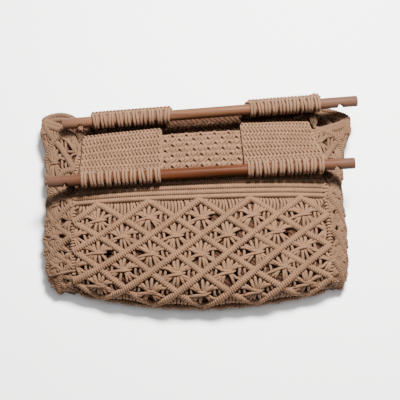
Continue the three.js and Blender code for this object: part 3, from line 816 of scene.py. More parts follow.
def wood_material(name, colour):
    """Stained dowel under a satin clear coat, with fine grain along it and worn ends."""
    worn_colour = bpy.context.scene.handbag_colours.worn_wood
    material, tree, surface = shader(name, {
        "Roughness": 0.46, "Specular IOR Level": 0.04, "Coat Weight": 0.006, "Coat Roughness": 0.25})
    place = add_node(tree, "ShaderNodeTexCoord").outputs["Object"]
    long_way = add_node(tree, "ShaderNodeMapping", {"Scale": (6.0, 150.0, 150.0)}, {"Vector": place})
    grain = add_node(
        tree, "ShaderNodeTexNoise", {"Scale": 2.2, "Detail": 6.0, "Roughness": 0.65},
        {"Vector": long_way.outputs["Vector"]}).outputs["Fac"]
    broad = add_node(tree, "ShaderNodeMapping", {"Scale": (5.0, 40.0, 40.0)}, {"Vector": place})
    stain = add_node(
        tree, "ShaderNodeTexNoise", {"Scale": 1.4, "Detail": 2.0},
        {"Vector": broad.outputs["Vector"]}).outputs["Fac"]
    both = calculate(tree, "ADD", grain, stain)
    share = add_node(tree, "ShaderNodeMapRange", {"From Min": 0.7, "From Max": 1.3}, {"Value": both})
    stained = blended(tree, share.outputs["Result"], scaled(colour, 0.55), scaled(colour, 1.35))
    parts = add_node(tree, "ShaderNodeSeparateXYZ", links={"Vector": place})
    outward = calculate(tree, "ABSOLUTE", parts.outputs["X"])
    worn = add_node(
        tree, "ShaderNodeMapRange", {"From Min": WORN_FROM, "From Max": WORN_TO, "To Max": WORN_SHARE},
        {"Value": outward})
    ends = blended(tree, worn.outputs["Result"], stained, worn_colour)
    tree.links.new(ends, surface.inputs["Base Color"])
    tree.links.new(bumped(tree, 0.25, 0.1 * MM, grain), surface.inputs["Normal"])
    return material


def template(name, strands, radius):
    """A small knot round its own middle: strands are given in cord diameters."""
    cord = bpy.context.scene.handbag_sizes.cord
    skein = Skein()
    for points, count in strands:
        skein.add(np.array(points) * cord, radius * cord, count, taper=0.8)
    knot = skein.into(name)
    knot.hide_render = True
    return knot


# One loop over a ridge, the two stitches of a strap and a square knot: along, across, up, in cord diameters
HITCH = [([(-0.24, -0.82, -0.3), (-0.14, -0.55, 0.3), (0, 0, 0.6), (0.14, 0.55, 0.3), (0.24, 0.82, -0.3)], 6)]
LEANING_RIGHT = [([(-0.56, -1.02, -0.55), (-0.36, -0.5, 0.2), (0.3, 0.45, 0.28), (0.56, 1.02, -0.55)], 7)]
LEANING_LEFT = [([(0.56, -1.02, -0.55), (0.36, -0.5, 0.2), (-0.3, 0.45, 0.28), (-0.56, 1.02, -0.55)], 7)]
SQUARE_KNOT = [
    ([(-3.0, -1.0, -0.3), (-2.6, -0.4, 0.5), (-2.1, 0.4, 0.55), (-1.6, 1.1, -0.3)], 6),
    ([(-1.7, -1.1, -0.3), (-1.2, -0.4, 0.6), (-0.8, 0.35, 0.6), (-0.5, 1.05, -0.3)], 6),
    ([(0.5, -1.1, -0.3), (0.8, -0.4, 0.6), (1.3, 0.35, 0.6), (1.7, 1.05, -0.3)], 6),
    ([(1.7, -1.0, -0.3), (2.1, -0.35, 0.5), (2.5, 0.4, 0.5), (3.0, 1.0, -0.3)], 6),
    ([(-0.9, 0.75, 0.2), (-0.35, 0.2, 0.95), (0.3, -0.2, 0.95), (0.9, -0.8, 0.2)], 5),
]

# Strands of a star in shares of the diamond's half width and half height, with lifts in cord diameters
STAR_BARS = [
    [(-0.22, -0.14, 0.6), (-0.1, -0.08, 1.05), (0.06, -0.05, 1.1), (0.22, -0.1, 0.65)],
    [(-0.66, 0.3, -0.1), (-0.38, 0.17, 0.7), (-0.1, 0.06, 1.15), (0.16, 0.03, 1.1), (0.32, -0.05, 0.5)],
    [(0.6, 0.36, -0.1), (0.42, 0.22, 0.5), (0.22, 0.1, 0.85), (0.02, 0.13, 0.8)],
]
STAR_CORNERS = [
    [(0.52, -0.48, -0.7), (0.46, -0.2, 0.4), (0.45, 0.15, 0.35), (0.54, 0.46, -0.7)],
    [(0.7, -0.32, -0.7), (0.63, -0.05, 0.45), (0.7, 0.3, -0.7)],
    [(0.86, -0.15, -0.7), (0.81, 0.0, 0.3), (0.86, 0.15, -0.7)],
]


class Net(NamedTuple):
    """A net of diamonds on a surface, counted in half diamonds across and down; inner gives it loops on its inner
    side near the mouth, proud lifts its ridges."""

    node: str
    place: Callable
    sides: int
    rows: int
    half_wide: float
    half_high: float
    start: float = 0.0
    inner: bool = False
    proud: float = 0.0


def star(skein, chance, net, u, v, half=0):
    """A diamond's star: half is -1 or 1 where a border leaves only that side of it."""
    cord = bpy.context.scene.handbag_sizes.cord
    radius = STRAND_SHARE * cord
    lean, drop, skew = chance.normal(0, 0.05), chance.normal(0, 0.05), chance.normal(0, 0.07)

    def spread(rows, flip=1):
        return [
            (u + (a * flip + lean * (1 - abs(a)) + skew * b) * net.half_wide,
             v + (b + drop * (1 - abs(b))) * net.half_high, STAR_LIFT + c * cord)
            for a, b, c in rows
        ]

    for a in np.linspace(-0.6, 0.6, 7) + chance.normal(0, 0.03, 7):
        if half and a * half < 0 or chance.random() < 0.03:
            continue
        edge, rise = -(1 - abs(a)) * chance.uniform(0.8, 0.92), chance.uniform(0.3, 0.65)
        strand = [
            (a, edge, -0.8), (a * 0.95, edge * 0.78, rise), (a * 0.62, -0.25, rise + 0.35), (a * 0.16, 0, 0.5)]
        skein.add(spread(strand), radius * chance.uniform(1.2, 1.45), 7, 0.7)
    for a in np.linspace(-0.5, 0.5, 6) + chance.normal(0, 0.04, 6):
        if half and a * half < 0 or chance.random() < 0.05:
            continue
        edge, rise = (1 - abs(a)) * 0.97, chance.uniform(0.25, 0.5)
        strand = [
            (a * 0.3, 0.04, 0.5), (a * 0.7, 0.3, rise + 0.35), (a * 0.97, edge * 0.74, rise), (a, edge, -0.8)]
        skein.add(spread(strand), radius * chance.uniform(1.05, 1.3), 7, 0.65)
    if not half:
        for row in STAR_BARS[:3 if chance.random() < 0.5 else 2]:
            skein.add(spread(row), radius * 1.25, 8, 0.55)
    for flip in (-1, 1):
        if half and flip != half:
            continue
        for row in STAR_CORNERS:
            if chance.random() < 0.93:
                skein.add(spread(row, flip), radius * chance.uniform(0.92, 1.1), 6, 0.85)


def fill_border(skein, chance, left, right, top, tip):
    """Cords that run down in the part of a diamond that a band or the bottom cuts off."""
    sizes = bpy.context.scene.handbag_sizes
    cord, lift = sizes.cord, BORDER_LIFT
    count = max(3, round((right - left) / sizes.border_pitch))
    bow = chance.uniform(0.25, 0.5) * cord
    for k in range(count):
        across = (k + 0.5) / count
        u = left + (right - left) * across + chance.normal(0, 0.06) * cord
        end = top + (tip - top) * (1 - abs(2 * across - 1)) * 0.97
        lean = (across - 0.5) * cord + chance.normal(0, 0.15) * cord
        skein.add([
            (u - lean, top, lift - 0.7 * cord), (u - lean * 0.8 + bow, top + (end - top) * 0.3, lift + 0.42 * cord),
            (u + bow, top + (end - top) * 0.7, lift + 0.35 * cord), (u + lean * 0.4, end, lift - 0.7 * cord),
        ], STRAND_SHARE * cord * 1.06, 7)


def fill_net(net, skein):
    """The stars of a net and the border cords above and below them, into the skein."""
    chance = np.random.default_rng(bpy.context.scene.handbag_sizes.seed)
    for j in range(net.rows + 1):
        for i in range(-net.sides, net.sides + 1):
            u, v = i * net.half_wide, net.start + j * net.half_high
            if (i + j) % 2 == 0:
                continue
            edge = int(np.sign(i)) if abs(i) == net.sides else 0
            if 0 < j < net.rows:
                star(skein, chance, net, u, v, -edge)
            else:
                left = u - net.half_wide if edge >= 0 else u
                right = u + net.half_wide if edge <= 0 else u
                top = v + RIM_BAND if net.inner and j == 0 else v
                tip = v + (net.half_high if j == 0 else -net.half_high)
                fill_border(skein, chance, left, right, top, tip)


def ridges(net):
    """The cores of a net's ridges and the spots of the loops round them."""
    sizes = bpy.context.scene.handbag_sizes
    cores, spots = Skein(), []
    for j in range(net.rows):
        for i in range(-net.sides, net.sides):
            rising = (i + j) % 2 != 0
            raised, size, trim = RISING if rising else FALLING
            first = np.array([i * net.half_wide, net.start + (j + 1 if rising else j) * net.half_high])
            last = np.array([(i + 1) * net.half_wide, net.start + (j if rising else j + 1) * net.half_high])
            u, v = even_steps(net.place, first, last, sizes.hitch_pitch, trim).T
            lift = RIDGE_LIFT + raised * sizes.cord + net.proud
            spots.append(spots_on(net.place, u, v, lift, last - first, size))
            if net.inner and v[0] < INNER_DEPTH:
                spots.append(turned_over(spots_on(net.place, u, v, -RIDGE_LIFT, last - first)))
            line = first + (last - first) * np.linspace(0, 1, 5)[:, None]
            cores.add(np.column_stack([line, np.full(5, lift)]), CORE_RADII["ridge"] * sizes.cord, 5)
    if net.inner:
        width = net.sides * net.half_wide
        for v in (RIM_BAND * share for share in RIM_ROWS):
            u = even_steps(net.place, (-width, v), (width, v), sizes.hitch_pitch)[:, 0]
            spots.append(spots_on(net.place, u, v, RIDGE_LIFT, (1, 0), (1.05, 1.1, 1)))
            spots.append(turned_over(spots_on(net.place, u, v, -RIDGE_LIFT, (1, 0))))
            line = [(x, v, 0) for x in np.linspace(-width, width, 20)]
            cores.add(line, CORE_RADII["mouth"] * sizes.cord, 24)
    return cores.placed(net.place), spots


def ground(name, place, us, vs, holes=None, lift=-1.1 * MM, thickness=1.2 * MM, dense=False):
    """The lower layer under the knots: a thin closed sheet, open where holes says so; dense looks like cords,
    otherwise it is painted dark as the shade in the gaps.
    """
    grid_u, grid_v = np.meshgrid(us, vs, indexing="ij")
    points = place(grid_u.ravel(), grid_v.ravel(), lift)
    middle_u, middle_v = np.meshgrid((us[1:] + us[:-1]) / 2, (vs[1:] + vs[:-1]) / 2, indexing="ij")
    open_there = holes(middle_u, middle_v) if holes else np.zeros(middle_u.shape, bool)
    rows = len(vs)
    faces = [
        (i * rows + j, (i + 1) * rows + j, (i + 1) * rows + j + 1, i * rows + j + 1)
        for i in range(len(us) - 1) for j in range(rows - 1) if not open_there[i, j]
    ]
    used = sorted({corner for face in faces for corner in face})
    number = {old: new for new, old in enumerate(used)}
    mesh = bpy.data.meshes.new(name)
    mesh.from_pydata(points[used].tolist(), [], [[number[corner] for corner in face] for face in faces])
    piece = add_object(name, mesh)
    modifier = piece.modifiers.new("Wall", "SOLIDIFY")
    modifier.thickness, modifier.offset = thickness, 0
    solid = bake(piece)
    solid.shade_smooth()
    solid.materials.clear()
    # A sheet that is not dense gets the dark layer: painted shade between the knots
    layer = bpy.data.materials.get("cotton_ground") or ground_material("cotton_ground")
    solid.materials.append(cotton() if dense else layer)
    return piece


def net_holes(net):
    """Tells where a net is open: beside the star of each whole diamond, more so further down."""
    def holes(u, v):
        a, b = u / net.half_wide, (v - net.start) / net.half_high
        found = np.zeros(np.shape(u), bool)
        for j in range(1, net.rows):
            for i in range(-net.sides, net.sides + 1):
                if (i + j) % 2 == 0:
                    continue
                size = 0.5 + 0.5 * j / net.rows
                for flip in (-1, 1):
                    aside = np.abs(a - i - flip * GAP_ASIDE) / GAP_HALF_WIDE
                    found |= aside + np.abs(b - j - GAP_DOWN) / GAP_HALF_HIGH < size
        return found

    return holes


def make_net(net):
    """Stars, ridges and lower layer of one net."""
    sizes = bpy.context.scene.handbag_sizes
    # The gussets get a darker cotton: painted shade for their sides, which face away from the light
    material = cotton("side_cotton" if net.inner else "cotton_cord")
    skein = Skein(sizes.seed, sizes.slack * sizes.cord)
    fill_net(net, skein)
    cores, spots = ridges(net)
    stars = skein.placed(net.place).into(f"{net.node}_stars", material)
    hitch = template("hitch", HITCH, 0.5)
    loops = knots_on(f"{net.node}_ridge_loops", hitch, spots, material=material)
    bpy.data.objects.remove(hitch)
    core = cores.into(f"{net.node}_ridge_cores", material)
    width, length = net.sides * net.half_wide, net.rows * net.half_high
    us = np.linspace(-width, width, 2 * round(width / CORD_DIAMETER) + 1)
    vs = np.linspace(net.start, net.start + length, round(length / CORD_DIAMETER) + 1)
    layer = ground(f"{net.node}_lower_layer", net.place, us, vs, net_holes(net))
    for piece in (stars, loops, core, layer):
        keep(piece, net.node)


def on_floor(u, v, lift):
    """The back's surface: no strand stands out further than the ridges that it lies on, and what reaches
    past the rim ends between the straps."""
    faded = smooth(*REACH_FADE, np.abs(u) / HALF_WIDTH)
    past_rim = REACH_LEFT + (1 - REACH_LEFT) * (1 - faded)
    flat_lift = np.minimum(lift, FLOOR_LIFT - FLOOR_SHARE * CORD_DIAMETER)
    return on_back(u, np.where(np.asarray(v) < 0, v * past_rim, v), flat_lift)


# The two faces of the bag with their surfaces
PANELS = {"front": on_front, "back": on_floor}


class HANDBAG_OT_nets(bpy.types.Operator):
    """Knots the diamond nets of front and back and the two gussets"""

    bl_idname = "handbag.nets"
    bl_label = "Diamond nets"

    def execute(self, context):
        half_wide, half_high = HALF_WIDTH / NET_SIDES, NET_LENGTH / NET_ROWS
        for face, place in PANELS.items():
            make_net(Net(
                f"{face}_net", place, NET_SIDES, NET_ROWS, half_wide, half_high, NET_START, proud=PROUD[face]))
        half_wide, half_high = BAG_DEPTH / GUSSET_SIDES, FRONT_LENGTH / GUSSET_ROWS
        for side, sign in SIDES.items():
            place = in_frame(lifted(gusset_base(side), -sign))
            make_net(Net(f"{side}_gusset", place, GUSSET_SIDES, GUSSET_ROWS, half_wide, half_high, inner=True))
        return {"FINISHED"}


class HANDBAG_OT_seams(bpy.types.Operator):
    """Laces the gussets to front and back"""

    bl_idname = "handbag.seams"
    bl_label = "Laced side seams"

    def execute(self, context):
        sizes = context.scene.handbag_sizes
        hitch = template("lacing_loop", HITCH, 0.44)
        v = np.arange(CORD_DIAMETER, FRONT_LENGTH - CORD_DIAMETER, sizes.lacing_pitch)
        for side, sign in SIDES.items():
            spots, u = [], sign * (HALF_WIDTH + SEAM_GAP / 2)
            for face, place in PANELS.items():
                lean = 0.35 if face == "front" else -0.35
                spots.append(spots_on(place, np.full(len(v), u), v, LACING_LIFT, (lean, 1), (1, 1.1, 0.95)))
                seam = Skein()
                line = [(u, down, 0) for down in np.linspace(0, FRONT_LENGTH, 40)]
                seam.add(line, CORE_RADII["seam"] * sizes.cord, 60)
                keep(seam.placed(place).into(f"{side}_{face}_seam_core"), f"{side}_gusset")
            keep(knots_on(f"{side}_seam_loops", hitch, spots), f"{side}_gusset")
        bpy.data.objects.remove(hitch)
        return {"FINISHED"}


class HANDBAG_OT_yokes(bpy.types.Operator):
    """Knots the lattice of alternating square knots between mouth and band"""

    bl_idname = "handbag.yokes"
    bl_label = "Lattice yokes"

    def execute(self, context):
        sizes = context.scene.handbag_sizes
        knot = template("square_knot", SQUARE_KNOT, 0.48)
        across = round(BAG_WIDTH / sizes.lattice_pitch)
        pitch = BAG_WIDTH / (across + 0.5)
        rows = round(YOKE_LENGTH / sizes.lattice_row)
        row = YOKE_LENGTH / rows
        size = (pitch / SQUARE_KNOT_SPAN[0], row / SQUARE_KNOT_SPAN[1], 1)

        def holes(u, v):
            a, b = u / pitch, v / row - 0.5
            odd = np.round(b) % 2
            shift = np.abs((a + 0.5 * odd + 0.25) % 1 - 0.5)
            aside, down = (0.5 - shift) * pitch / LATTICE_HOLE, np.abs(b - np.round(b)) * row / LATTICE_HOLE
            return (aside + down < 1) & (v > CLOSED_RIM)

        for face, place in PANELS.items():
            for n, way in enumerate((1,) if face == "front" else (1, -1)):
                spots = []
                for j in range(rows if way > 0 else rows // 2):
                    u, v = alternate(across, pitch, j), (j + 0.5) * row
                    found = spots_on(place, u, v, way * LATTICE_LIFT, (1, 0), size)
                    spots.append(found if way > 0 else turned_over(found))
                side = "knots" if way > 0 else "inner_knots"
                keep(knots_on(f"{face}_yoke_{side}", knot, spots, 0.09, n), f"{face}_yoke")
            us = np.linspace(-HALF_WIDTH, HALF_WIDTH, across * 8 + 1)
            vs = np.linspace(0, YOKE_LENGTH, rows * 4 + 1)
            top = -RIM_REACH if face == "back" else 0
            if top:
                vs = np.insert(vs, 0, top)
            layer = ground(f"{face}_yoke_lower_layer", place, us, vs, holes, YOKE_LAYER_LIFT, dense=True)
            keep(layer, f"{face}_yoke")
            if top:
                # Inside the back's rim a dark sheet stands in for the shade in the mouth: painted shade
                shade_sheet_rows = np.linspace(top + 1 * MM, CLOSED_RIM, 7)
                keep(ground("back_yoke_lining", place, us, shade_sheet_rows, None, SHADE_SHEET_LIFT, SHADE_SHEET_WALL), "back_yoke")
            edge = Skein()
            for lift, v in ((0, top + 0.6 * MM), (HALF_WALL, top + 2.4 * MM), (0, YOKE_LENGTH - 1 * MM)):
                edge.add(crossing(v, lift), CORE_RADII["rim"] * sizes.cord, 60)
            keep(edge.placed(place).into(f"{face}_yoke_rim"), f"{face}_yoke")
        bpy.data.objects.remove(knot)
        return {"FINISHED"}


class HANDBAG_OT_bands(bpy.types.Operator):
    """Knots the four cord ridges across front and back"""

    bl_idname = "handbag.bands"
    bl_label = "Bands"

    def execute(self, context):
        sizes = context.scene.handbag_sizes
        hitch = template("band_hitch", HITCH, 0.47)
        pitch = BAND_LENGTH / BAND_RIDGES
        count = round(BAG_WIDTH / sizes.band_pitch)
        for face, place in PANELS.items():
            spots, cores = [], Skein()
            for k in range(BAND_RIDGES):
                v = BAND_START + (k + 0.5) * pitch
                middle = alternate(count, BAG_WIDTH / (count + 0.5), k)
                for strand in (-1, 1):
                    u = middle + strand * 0.4 * sizes.cord
                    spots.append(spots_on(place, u, v, RIDGE_LIFT - 0.15 * sizes.cord, (1, 0), (0.85, 0.97, 0.9)))
                lowest = k == BAND_RIDGES - 1
                lift = RIDGE_LIFT + (0.12 if lowest else -0.1) * sizes.cord
                cores.add(crossing(v, lift), CORE_RADII["lowest band" if lowest else "band"] * sizes.cord, 60)
            us = np.linspace(-HALF_WIDTH, HALF_WIDTH, 61)
            vs = np.linspace(BAND_START, BAND_START + BAND_LENGTH, 7)
            keep(knots_on(f"{face}_band_loops", hitch, spots, 0.04), f"{face}_band")
            keep(cores.placed(place).into(f"{face}_band_cores"), f"{face}_band")
            keep(ground(f"{face}_band_lower_layer", place, us, vs), f"{face}_band")
        bpy.data.objects.remove(hitch)
        return {"FINISHED"}


class HANDBAG_OT_straps(bpy.types.Operator):
    """Knots the four dense straps and their loops round the dowels"""

    bl_idname = "handbag.straps"
    bl_label = "Straps"

    def execute(self, context):
        sizes = context.scene.handbag_sizes
        leaning = [template("stitch_right", LEANING_RIGHT, 0.55), template("stitch_left", LEANING_LEFT, 0.55)]
        us, vs = np.linspace(-0.5, 0.5, 25), np.linspace(0, 1, 41)
        for strap in STRAPS:
            node = f"{strap.face}_strap_{strap.side}"
            place, width, length = strap_place(strap)
            across, rows = round(width / sizes.stitch_pitch), round(length / sizes.stitch_row)
            spots = [[], []]
            for way in (1, -1):
                for j in range(rows):
                    u, v = (np.arange(across) + 0.5) / across - 0.5, (j + 0.5) / rows
                    here = place(u, v, way * STRAP_WALL * STITCH_LIFT)
                    along = place(u + STRAP_PROBE, v, 0) - place(u - STRAP_PROBE, v, 0)
                    out = way * (place(u, v, MM) - place(u, v, 0))
                    spots[j % 2].append((here, along, out, np.ones((across, 3))))
            for lean, knot, rows_of_spots in zip(("right", "left"), leaning, spots):
                keep(knots_on(f"{node}_stitches_{lean}", knot, rows_of_spots), node)
            keep(ground(f"{node}_lower_layer", place, us, vs, None, 0, STRAP_LAYER_WALL, True), node)
            edges = Skein()
            for u in (-0.5, 0.5):
                edge = [(u, v, 0) for v in np.linspace(0, 1, 30)]
                edges.add(edge, CORE_RADII["strap edge"] * sizes.cord, 40)
            end = [(u, 0.985, 0) for u in np.linspace(-0.5, 0.5, 20)]
            edges.add(end, CORE_RADII["strap end"] * sizes.cord, 30)
            keep(edges.placed(place).into(f"{node}_edges"), node)
            keep(self.loops(strap, node, sizes), node)
        for knot in leaning:
            bpy.data.objects.remove(knot)
        return {"FINISHED"}

    def loops(self, strap, node, sizes):
        """Ten pairs of strands round the dowel, each pair a little tilted."""
        skein = Skein()
        chance = np.random.default_rng(sizes.seed + len(node))
        turn = math.radians(DOWEL_TURN[strap.face])
        along = np.array([math.cos(turn), math.sin(turn), 0])
        aside = np.array([-math.sin(turn), math.cos(turn), 0])
        up = np.array([0, 0, 1.0])
        radius = DOWEL_DIAMETER / 2 + sizes.cord * 0.46
        angles = np.linspace(0, 2 * math.pi, 24, endpoint=False)
        for k in range(LOOP_PAIRS):
            middle = dowel_axis(strap.face, strap_across(strap, (k + 0.5) / LOOP_PAIRS - 0.5, 1)) + SHIFT
            lean = chance.normal(0, 0.07)
            for strand in (-1, 1):
                offset = strand * sizes.cord * (0.54 + chance.uniform(0, 0.1))
                tilt = lean + chance.normal(0, 0.04)
                skein.add([
                    middle + along * (offset + tilt * radius * math.cos(angle))
                    + aside * radius * math.cos(angle) + up * radius * math.sin(angle)
                    for angle in angles
                ], 0.56 * sizes.cord, closed=True)
        return skein.into(f"{node}_loops")


class HANDBAG_OT_bottom_seam(bpy.types.Operator):
    """Knots the row that ties front and back along the bottom"""

    bl_idname = "handbag.bottom_seam"
    bl_label = "Bottom seam"

    def execute(self, context):
        sizes = context.scene.handbag_sizes
        stations = np.linspace(-1, 1, SEAM_KNOTS * 7 + 1)
        u = stations * HALF_WIDTH * SEAM_WIDTH_SHARE
        end = front_base(u, FRONT_LENGTH)
        down = (end - front_base(u, FRONT_LENGTH - CORD_DIAMETER)) * (0, 1, 1)
        down /= np.linalg.norm(down, axis=1, keepdims=True)
        middle = end + down * (SEAM_RADIUS + BOTTOM_SEAM_GAP)
        middle[:, 2] = np.maximum(middle[:, 2], FLOOR_LIFT + HALF_WALL + JOIN_GAP + SEAM_RADIUS)
        middle += SHIFT
        wave = 0.5 - 0.5 * np.cos((stations + 1) * math.pi * SEAM_KNOTS)
        radius = SEAM_RADIUS * (SEAM_WAIST + (1 - SEAM_WAIST) * wave) - SEAM_CORD_SHARE * sizes.cord
        chance = np.random.default_rng(sizes.seed)
        angles = np.linspace(0, 2 * math.pi, 12, endpoint=False)
        rings, core = Skein(), Skein()
        for point, size in zip(middle, radius):
            lean = chance.normal(0.18, 0.08)
            ring = [point + (size * lean * math.cos(a), size * math.cos(a), size * math.sin(a)) for a in angles]
            rings.add(ring, SEAM_CORD_SHARE * sizes.cord, closed=True)
        core.add(middle[::3], CORE_RADII["bottom"] * sizes.cord, 60)
        keep(rings.into("bottom_seam_loops"), "bottom_seam")
        keep(core.into("bottom_seam_core"), "bottom_seam")
        return {"FINISHED"}


class HANDBAG_OT_dowels(bpy.types.Operator):
    """Turns the two wooden dowels with their notches"""

    bl_idname = "handbag.dowels"
    bl_label = "Dowels"

    def execute(self, context):
        colours = context.scene.handbag_colours
        for face, colour in (("front", colours.front_wood), ("back", colours.back_wood)):
            wood = bpy.data.materials.get(f"{face}_wood") or wood_material(f"{face}_wood", colour)
            keep(self.turned(f"{face}_dowel_wood", face, wood), f"{face}_dowel")
        return {"FINISHED"}

    def turned(self, name, face, wood):
        """A smooth dowel with rounded ends and a round notch near each end."""
        radius, half, sides = DOWEL_DIAMETER / 2, DOWEL_LENGTH / 2, 40
        notch, cut = half - NOTCH_INSET, NOTCH_WIDTH / 2
        corner = [
            (radius - DOWEL_BEVEL * (1 - math.sin(a)), half - DOWEL_BEVEL * (1 - math.cos(a)))
            for a in np.linspace(math.pi / 2, 0, 5)
        ]
        low, high = notch - NOTCH_WIDTH, notch + NOTCH_WIDTH
        profile = [(radius, x) for x in (*np.linspace(0, low, 12), *np.linspace(low, high, 26)[1:])] + corner
        profile = [(r, -x) for r, x in reversed(profile[1:])] + profile
        points, faces = [], []
        for r, x in profile:
            for k in range(sides):
                angle = 2 * math.pi * k / sides
                y, z = r * math.cos(angle), r * math.sin(angle)
                reach = abs(abs(x) - notch)
                if reach < cut:
                    y = max(y, -radius + NOTCH_DEPTH - cut + math.sqrt(cut**2 - reach**2))
                points.append((x, y, z))
        rings = len(profile)
        for i in range(rings - 1):
            for k in range(sides):
                after = (k + 1) % sides
                faces.append((i * sides + k, (i + 1) * sides + k, (i + 1) * sides + after, i * sides + after))
        faces.append(tuple(range(sides)))
        faces.append(tuple(reversed(range((rings - 1) * sides, rings * sides))))
        mesh = bpy.data.meshes.new(name)
        mesh.from_pydata(points, [], faces)
        across = Matrix.Rotation(math.radians(DOWEL_TURN[face]), 4, "Z")
        round_axis = Matrix.Rotation(math.radians(NOTCH_TURN), 4, "X")
        mesh.transform(Matrix.Translation(Vector(DOWEL_MIDDLE[face] + SHIFT)) @ across @ round_axis)
        mesh.materials.append(wood)
        mesh.shade_smooth()
        mesh.set_sharp_from_angle(angle=math.radians(38))
        return add_object(name, mesh)


class Fray(NamedTuple):
    """A frayed end: its length, the spread of its tips, how thinned its fibres are, their start and reach."""

    length: float
    spread: float
    thinned: int
    start: float
    far: float
    material: str


# The tufts' cotton is darker: painted shade where the loose fibres shade each other
TUFT_FRAY = Fray(15 * MM, 5.2 * MM, thinned=1, start=0.08, far=0.8, material="frayed_cotton")
LOOSE_FRAY = Fray(25 * MM, 1.3 * MM, thinned=3, start=0.7, far=1.0, material="cotton_cord")
FRAY_DIRECTIONS = {
    "mouth_tuft_left": (0.1, 0.98, -0.05), "mouth_tuft_right": (-0.1, 0.95, -0.15),
    "band_tuft_left": (-0.1, -0.9, 0), "band_tuft_right": (0.5, -0.8, 0), "loose_end": (-1, -0.08, -0.42),
}


class HANDBAG_OT_frayed_ends(bpy.types.Operator):
    """Frays the four tufts on the side seams and the loose end"""

    bl_idname = "handbag.frayed_ends"
    bl_label = "Frayed ends"

    def execute(self, context):
        sizes = context.scene.handbag_sizes
        for n, (node, direction) in enumerate(FRAY_DIRECTIONS.items()):
            fray = LOOSE_FRAY if node == "loose_end" else TUFT_FRAY
            low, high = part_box(node)
            along = unit(np.array(direction, float))
            head = np.array((low + high) / 2) - along * fray.length / 2
            first = unit(np.cross((0, 0, 1.0), along))
            second = np.cross(along, first)
            chance = np.random.default_rng(sizes.seed + n)
            skein = Skein()
            for _ in range(sizes.fibres // fray.thinned):
                angle, reach = chance.uniform(0, 2 * math.pi), math.sqrt(chance.uniform(0, 1))
                aside = first * math.cos(angle) + second * math.sin(angle)
                start = head + along * (fray.length * fray.start) + aside * reach * 0.9 * MM
                far = fray.length * (fray.far + chance.uniform(0, 0.22))
                stop = head + along * far + aside * reach * fray.spread * chance.uniform(0.7, 1.1)
                bend = (start + stop) / 2 + aside * reach * fray.spread * 0.35 + chance.normal(0, 0.4 * MM, 3)
                skein.add([start, bend, stop], chance.uniform(0.2, 0.34) * MM, 5, 0.5)
            if fray is LOOSE_FRAY:
                sway = second * 0.8 * MM
                cord = [head, head + along * fray.length * 0.4 + sway, head + along * fray.length * 0.8]
                skein.add(cord, 0.48 * sizes.cord, 9)
            else:
                for angle in (2 * math.pi * k / 3 for k in range(3)):
                    aside = (first * math.cos(angle) + second * math.sin(angle)) * 0.35 * sizes.cord
                    cord = [head - along * MM, head + along * 2 * MM + aside, head + along * 5 * MM + aside * 1.5]
                    skein.add(cord, 0.42 * sizes.cord, 5, 0.7)
            keep(skein.into(f"{node}_fibres", cotton(fray.material), 4), node)
        return {"FINISHED"}


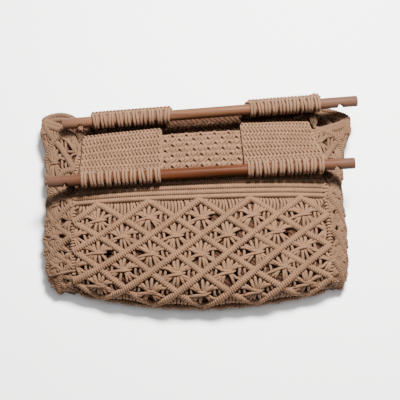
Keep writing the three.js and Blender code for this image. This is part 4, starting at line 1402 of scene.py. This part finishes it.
class HANDBAG_OT_stage(bpy.types.Operator):
    """Makes the pale floor, the soft studio light and the camera"""

    bl_idname = "handbag.stage"
    bl_label = "Floor, light and camera"

    def execute(self, context):
        stage = context.scene.handbag_stage
        target = Vector((SHIFT[0], SHIFT[1], stage.target_height))
        e, a = stage.elevation, stage.azimuth
        forward = Vector((math.sin(a) * math.cos(e), math.cos(a) * math.cos(e), -math.sin(e)))
        camera = bpy.data.cameras.new("camera")
        camera.lens, camera.sensor_width = stage.lens, SENSOR_WIDTH
        camera.clip_start, camera.clip_end = NEAREST, FARTHEST
        view = add_object("camera", camera)
        view.location = target - forward * stage.distance
        view.rotation_mode = "QUATERNION"
        right = Vector((math.cos(a), -math.sin(a), 0))
        up = right.cross(forward)
        view.rotation_quaternion = Matrix((right, up, -forward)).transposed().to_quaternion()
        context.scene.camera = view
        self.floor(context.scene.handbag_colours.floor)
        self.light("key", stage.key_power, KEY_LIGHT, target)
        self.light("fill", stage.fill_power, FILL_LIGHT, target)
        world = bpy.data.worlds.new("surroundings")
        world.use_nodes = True
        background = world.node_tree.nodes["Background"]
        background.inputs["Color"].default_value = (1, 1, 1, 1)
        background.inputs["Strength"].default_value = stage.world
        context.scene.world = world
        return {"FINISHED"}

    def floor(self, colour):
        """The plain floor under the bag, which is no piece of it."""
        mesh = bpy.data.meshes.new("floor")
        corners = [(x * FLOOR_HALF, y * FLOOR_HALF, 0) for x, y in ((-1, -1), (1, -1), (1, 1), (-1, 1))]
        mesh.from_pydata(corners, [], [(0, 1, 2, 3)])
        material, _, _ = shader("pale_floor", {"Base Color": (*colour, 1), "Roughness": 0.9})
        mesh.materials.append(material)
        add_object("floor", mesh)

    def light(self, name, power, lamp, target):
        """A soft square light that shines on the target."""
        data = bpy.data.lights.new(name, "AREA")
        data.energy = power
        data.size, offset, data.color = lamp
        found = add_object(name, data)
        found.location = target + Vector(offset)
        found.rotation_mode = "QUATERNION"
        found.rotation_quaternion = (-Vector(offset)).to_track_quat("-Z", "Y")

class HANDBAG_PT_panel(bpy.types.Panel):
    """Lists the steps that make the handbag"""

    bl_idname = "HANDBAG_PT_panel"
    bl_label = "Handbag"
    bl_space_type = "VIEW_3D"
    bl_region_type = "UI"
    bl_category = "Handbag"

    def draw(self, context):
        for group in ("handbag_sizes", "handbag_colours", "handbag_stage"):
            values = getattr(context.scene, group)
            for name in values.__annotations__:
                self.layout.prop(values, name)
        for step in STEPS:
            self.layout.operator(step.bl_idname)


GROUPS = {"handbag_sizes": HandbagSizes, "handbag_colours": HandbagColours, "handbag_stage": HandbagStage}
STEPS = (
    HANDBAG_OT_stage, HANDBAG_OT_nets, HANDBAG_OT_seams, HANDBAG_OT_yokes, HANDBAG_OT_bands, HANDBAG_OT_straps,
    HANDBAG_OT_bottom_seam, HANDBAG_OT_dowels, HANDBAG_OT_frayed_ends,
)


def register():
    for group in GROUPS.values():
        bpy.utils.register_class(group)
    for step in (*STEPS, HANDBAG_PT_panel):
        bpy.utils.register_class(step)
    for name, group in GROUPS.items():
        setattr(bpy.types.Scene, name, PointerProperty(type=group))


def unregister():
    for name in GROUPS:
        delattr(bpy.types.Scene, name)
    for found in (HANDBAG_PT_panel, *reversed(STEPS), *reversed(GROUPS.values())):
        bpy.utils.unregister_class(found)


def main():
    """Makes every piece in order."""
    register()
    for step in STEPS:
        group, name = step.bl_idname.split(".")
        getattr(getattr(bpy.ops, group), name)()


if __name__ == "__main__":
    main()
